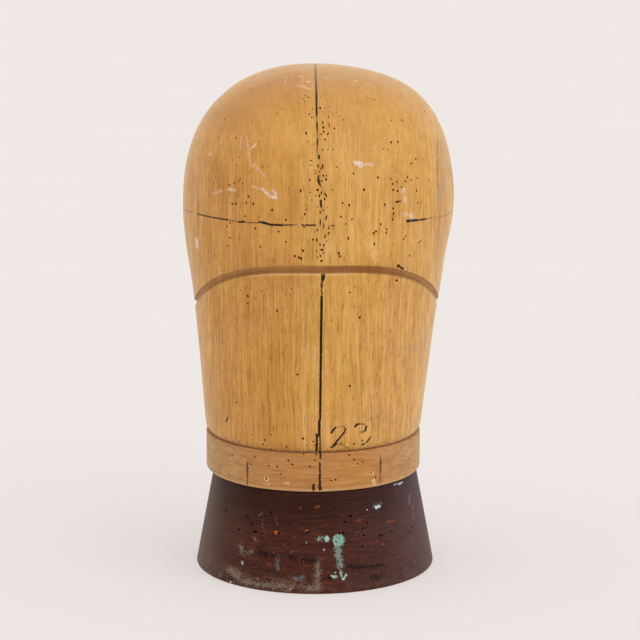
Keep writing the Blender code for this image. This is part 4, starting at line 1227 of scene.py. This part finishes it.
FOOT_PIN_PIXELS = (
    (225.9, 510.4), (247.2, 516.4), (238.9, 529.9), (254.3, 531.5), (262.6, 533.7), (252.2, 524.7),
    (270.8, 512.5), (316.3, 524), (362.7, 528.3), (366.8, 522.7), (391.7, 531.4), (382.1, 535.1),
    (363.9, 535.1), (345.2, 521.8), (350.6, 516), (339, 533.4), (342.8, 532.6), (409.1, 532.6),
    (412.4, 527.2), (362.2, 546.3), (329.5, 577.8), (279.6, 533.2), (307.4, 532.2), (301.9, 562.5),
    (277.6, 533.6), (380, 535.6), (256, 532.4),
)


DUST_SIZE = 0.006
SHADE_UNDER_COLLAR = (0.024, 0.010)
LOW_DUST = (0.012, 0.002)
RUBBED_RIM = (0.0016, 0.0009)
FOOT_RELIEF = 0.00018


def foot_wood(name, marks):
    """Hardwood stained dark red-brown under worn varnish, dusty towards its sides and rim, with painted sheen
    on its sides and painted shade under the collar.
    """
    material, tree, place = new_material(name)
    tone, hue, pores = grain(tree, place, (0.0, math.radians(90.0), 0.0), (0.3, -0.170, 1.9))
    axes = node(tree, "SeparateXYZ", {"Vector": place})
    dust = node(tree, "TexNoise", {
        "Vector": place, "Scale": 1.0 / DUST_SIZE, "Detail": 5.0, "Roughness": 0.7})
    # Painted shade: the stain is coloured darker towards the top of the foot, under the collar.
    shade_under_collar = node(tree, "MapRange", {
        "Value": axes.outputs["Z"], "From Min": FOOT_TOP - SHADE_UNDER_COLLAR[0], "From Max": FOOT_TOP - SHADE_UNDER_COLLAR[1],
        "To Max": 0.60})
    # Dust and painted sheen: the stain greys towards the left and right sides, purplish grey on the right.
    left_dust_and_sheen = hand_curve(tree, axes.outputs["X"], (
        (-0.075, 0.85), (-0.064, 0.48), (-0.055, 0.12), (-0.040, 0.02), (-0.010, 0.0)))
    right_dust_and_sheen = hand_curve(tree, axes.outputs["X"], (
        (0.010, 0.0), (0.026, 0.04), (0.042, 0.10), (0.054, 0.27), (0.068, 0.36), (0.075, 0.44)))
    spread = node(tree, "MapRange", {
        "Value": dust, "From Min": 0.25, "From Max": 0.65, "To Min": 0.45, "To Max": 1.15})
    left_dust_and_sheen, right_dust_and_sheen = (node(tree, "Math", {0: side_dust_and_sheen, 1: spread}, operation="MULTIPLY")
                             for side_dust_and_sheen in (left_dust_and_sheen, right_dust_and_sheen))
    low_dust = node(tree, "MapRange", {
        "Value": axes.outputs["Z"], "From Min": LOW_DUST[0], "From Max": LOW_DUST[1]})
    patchy = node(tree, "MapRange", {
        "Value": dust, "From Min": 0.48, "From Max": 0.62, "To Max": 0.55})
    settled = hand_curve(tree, axes.outputs["X"], (
        (-0.075, 0.7), (-0.055, 1.0), (-0.010, 1.0), (0.004, 0.35), (0.050, 0.20), (0.075, 0.50)))
    for share in (patchy, settled):
        low_dust = node(tree, "Math", {0: low_dust, 1: share}, operation="MULTIPLY")
    rim = node(tree, "MapRange", {
        "Value": axes.outputs["Z"], "From Min": RUBBED_RIM[0], "From Max": RUBBED_RIM[1], "To Max": 0.8})
    colour = grained_colour(tree, tone, hue, pores, ("#27110a", "#552a1d"), ("#26110f", "#4e2a24"), 0.40)
    colour = coated(tree, colour, (shade_under_collar, "#200900"), (left_dust_and_sheen, "#6a584c"), (right_dust_and_sheen, "#66535a"),
                    (low_dust, "#7d7062"), (rim, "#5c2c12"))
    colour = marked(tree, place, colour, marks)
    roughness = node(tree, "MapRange", {"Value": dust, "To Min": 0.38, "To Max": 0.66})
    varnished(tree, colour, roughness, tone, FOOT_RELIEF, 0.09, 0.03)
    return material


foot = oval_board("flared_foot", 0.0, FOOT_HALF_WIDTH, FOOT_HALF_DEPTH, 0.0, FOOT_TOP,
                  FOOT_SIDES, FOOT_LAYERS, -FOOT_FLARE)
round_edge(foot, 0.0, FOOT_EDGE_ROUND, 4)
round_edge(foot, FOOT_TOP, FOOT_TOP_ROUND, 2)
bpy.context.view_layer.update()
FOOT_WOOD = foot_wood("stained_foot_wood", laid_marks(foot, FOOT_MARKS))
foot.data.materials.append(FOOT_WOOD)
pin.data.materials[0] = pin_hole_wood("sooty_pin_hole_wood", "#080403", "#1f0d08")
pin_board(foot, FOOT_PIN_PIXELS, 0.95, 1.35, 1.15)
bore(foot, FOOT_WOOD)
shade_smooth(foot)
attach(foot, "root")
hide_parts("base_foot")
bpy.data.objects.remove(pin, do_unlink=True)


# The dowels are plain beech and the wood screws dull mild steel. They come from the frame as they
# are, and get the finish of turned beech with fine flecks and of dull steel with brown tarnish.
FLECK_SIZE = (0.0006, 0.0006, 0.003)
FLECK_RELIEF = 0.0001
TARNISH_SIZE = 0.003


def beech_dowel():
    """Turned beech: pale tan, with fine darker flecks along the rod."""
    material, tree, place = new_material("turned_beech")
    flecks = node(tree, "Mapping", {"Vector": place, "Scale": tuple(1.0 / side for side in FLECK_SIZE)})
    flecks = node(tree, "TexNoise", {"Vector": flecks, "Scale": 1.0, "Detail": 2.0})
    colour = coated(tree, "#b98d5e", (flecks, "#e0bd8d"))
    relief = node(tree, "Bump", {"Height": flecks, "Distance": FLECK_RELIEF})
    surface = node(tree, "BsdfPrincipled", {"Base Color": colour, "Roughness": 0.6, "Normal": relief})
    node(tree, "OutputMaterial", {"Surface": surface})
    return material


def screw_steel():
    """Turned mild steel gone dull: grey metal, patchy with brown tarnish."""
    material, tree, place = new_material("tarnished_screw_steel")
    tarnish = node(tree, "TexNoise", {"Vector": place, "Scale": 1.0 / TARNISH_SIZE, "Detail": 4.0})
    amount = node(tree, "MapRange", {"Value": tarnish, "From Min": 0.45, "From Max": 0.70})
    colour = coated(tree, "#8f8c86", (amount, "#5d4a3a"))
    roughness = node(tree, "MapRange", {"Value": tarnish, "To Min": 0.30, "To Max": 0.65})
    surface = node(tree, "BsdfPrincipled", {
        "Base Color": colour, "Metallic": 1.0, "Roughness": roughness})
    node(tree, "OutputMaterial", {"Surface": surface})
    return material


def refinish(cad_piece, material):
    """Gives a piece of the frame its material."""
    cad_piece.data.materials.clear()
    cad_piece.data.materials.append(material)


BEECH = beech_dowel()
STEEL = screw_steel()
for side in ("left", "right"):
    refinish(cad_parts[f"collar_dowel_{side}"], BEECH)
for side in SCREW_SIDES:
    refinish(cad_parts[f"base_screw_{side}"], STEEL)


# The block stands on a wide sheet of white paper in a bright studio: a pale warm floor, an even
# white surround, and one large soft lamp on the right. The paper looks nearly as bright as white.
FLOOR_SIZE = 40.0
PAPER_CLOUD_SIZE = 0.25
PAPER_SHARE = 0.50
SURROUND_LEVEL = 1.07
LAMP_LEVEL = 0.72
LAMP_SPREAD = math.radians(60.0)
LAMP_TURN = (math.radians(58.0), 0.0, math.radians(43.0))


def looked_at(tree):
    """One where the camera looks, straight or by way of a reflection or glass, and otherwise nothing."""
    ray = node(tree, "LightPath")
    straight = node(tree, "Math", {
        0: ray.outputs["Is Camera Ray"], 1: ray.outputs["Is Glossy Ray"]}, operation="MAXIMUM")
    return node(tree, "Math", {
        0: straight, 1: ray.outputs["Is Transmission Ray"]}, operation="MAXIMUM")


def studio_paper():
    """Matt white paper, drawn a little brighter to the eye than the lamp alone would make it."""
    material, tree, place = new_material("studio_paper")
    clouds = node(tree, "TexNoise", {"Vector": place, "Scale": 1.0 / PAPER_CLOUD_SIZE, "Detail": 2.0})
    surface = node(tree, "BsdfPrincipled", {
        "Base Color": coated(tree, "#dbd7d5", (clouds, "#dedad8")), "Roughness": 0.9,
        "Specular IOR Level": 0.1})
    glow = node(tree, "Emission", {"Color": "#f2ebe8", "Strength": 1.0})
    share = node(tree, "Math", {0: looked_at(tree), 1: PAPER_SHARE}, operation="MULTIPLY")
    lit = node(tree, "MixShader", {0: share, 1: surface, 2: glow})
    node(tree, "OutputMaterial", {"Surface": lit})
    return material


bpy.ops.object.select_all(action="DESELECT")
bpy.ops.mesh.primitive_plane_add(size=FLOOR_SIZE)
floor = bpy.context.object
floor.name = "paper_floor"
floor.data.materials.append(studio_paper())

surround = bpy.data.worlds.new("white_surround")
surround.use_nodes = True
surround.node_tree.nodes.clear()
light = node(surround.node_tree, "Background", {"Color": "#fdfbfa", "Strength": SURROUND_LEVEL})
shown = node(surround.node_tree, "Background", {"Color": "#efe9e6", "Strength": 1.0})
both = node(surround.node_tree, "MixShader", {0: looked_at(surround.node_tree), 1: light, 2: shown})
node(surround.node_tree, "OutputWorld", {"Surface": both})
bpy.context.scene.world = surround

lamp_light = bpy.data.lights.new("soft_lamp", "SUN")
lamp_light.energy = LAMP_LEVEL
lamp_light.angle = LAMP_SPREAD
lamp = bpy.data.objects.new("soft_lamp", lamp_light)
lamp.rotation_euler = LAMP_TURN
bpy.context.scene.collection.objects.link(lamp)
bpy.context.scene.view_settings.view_transform = "Standard"
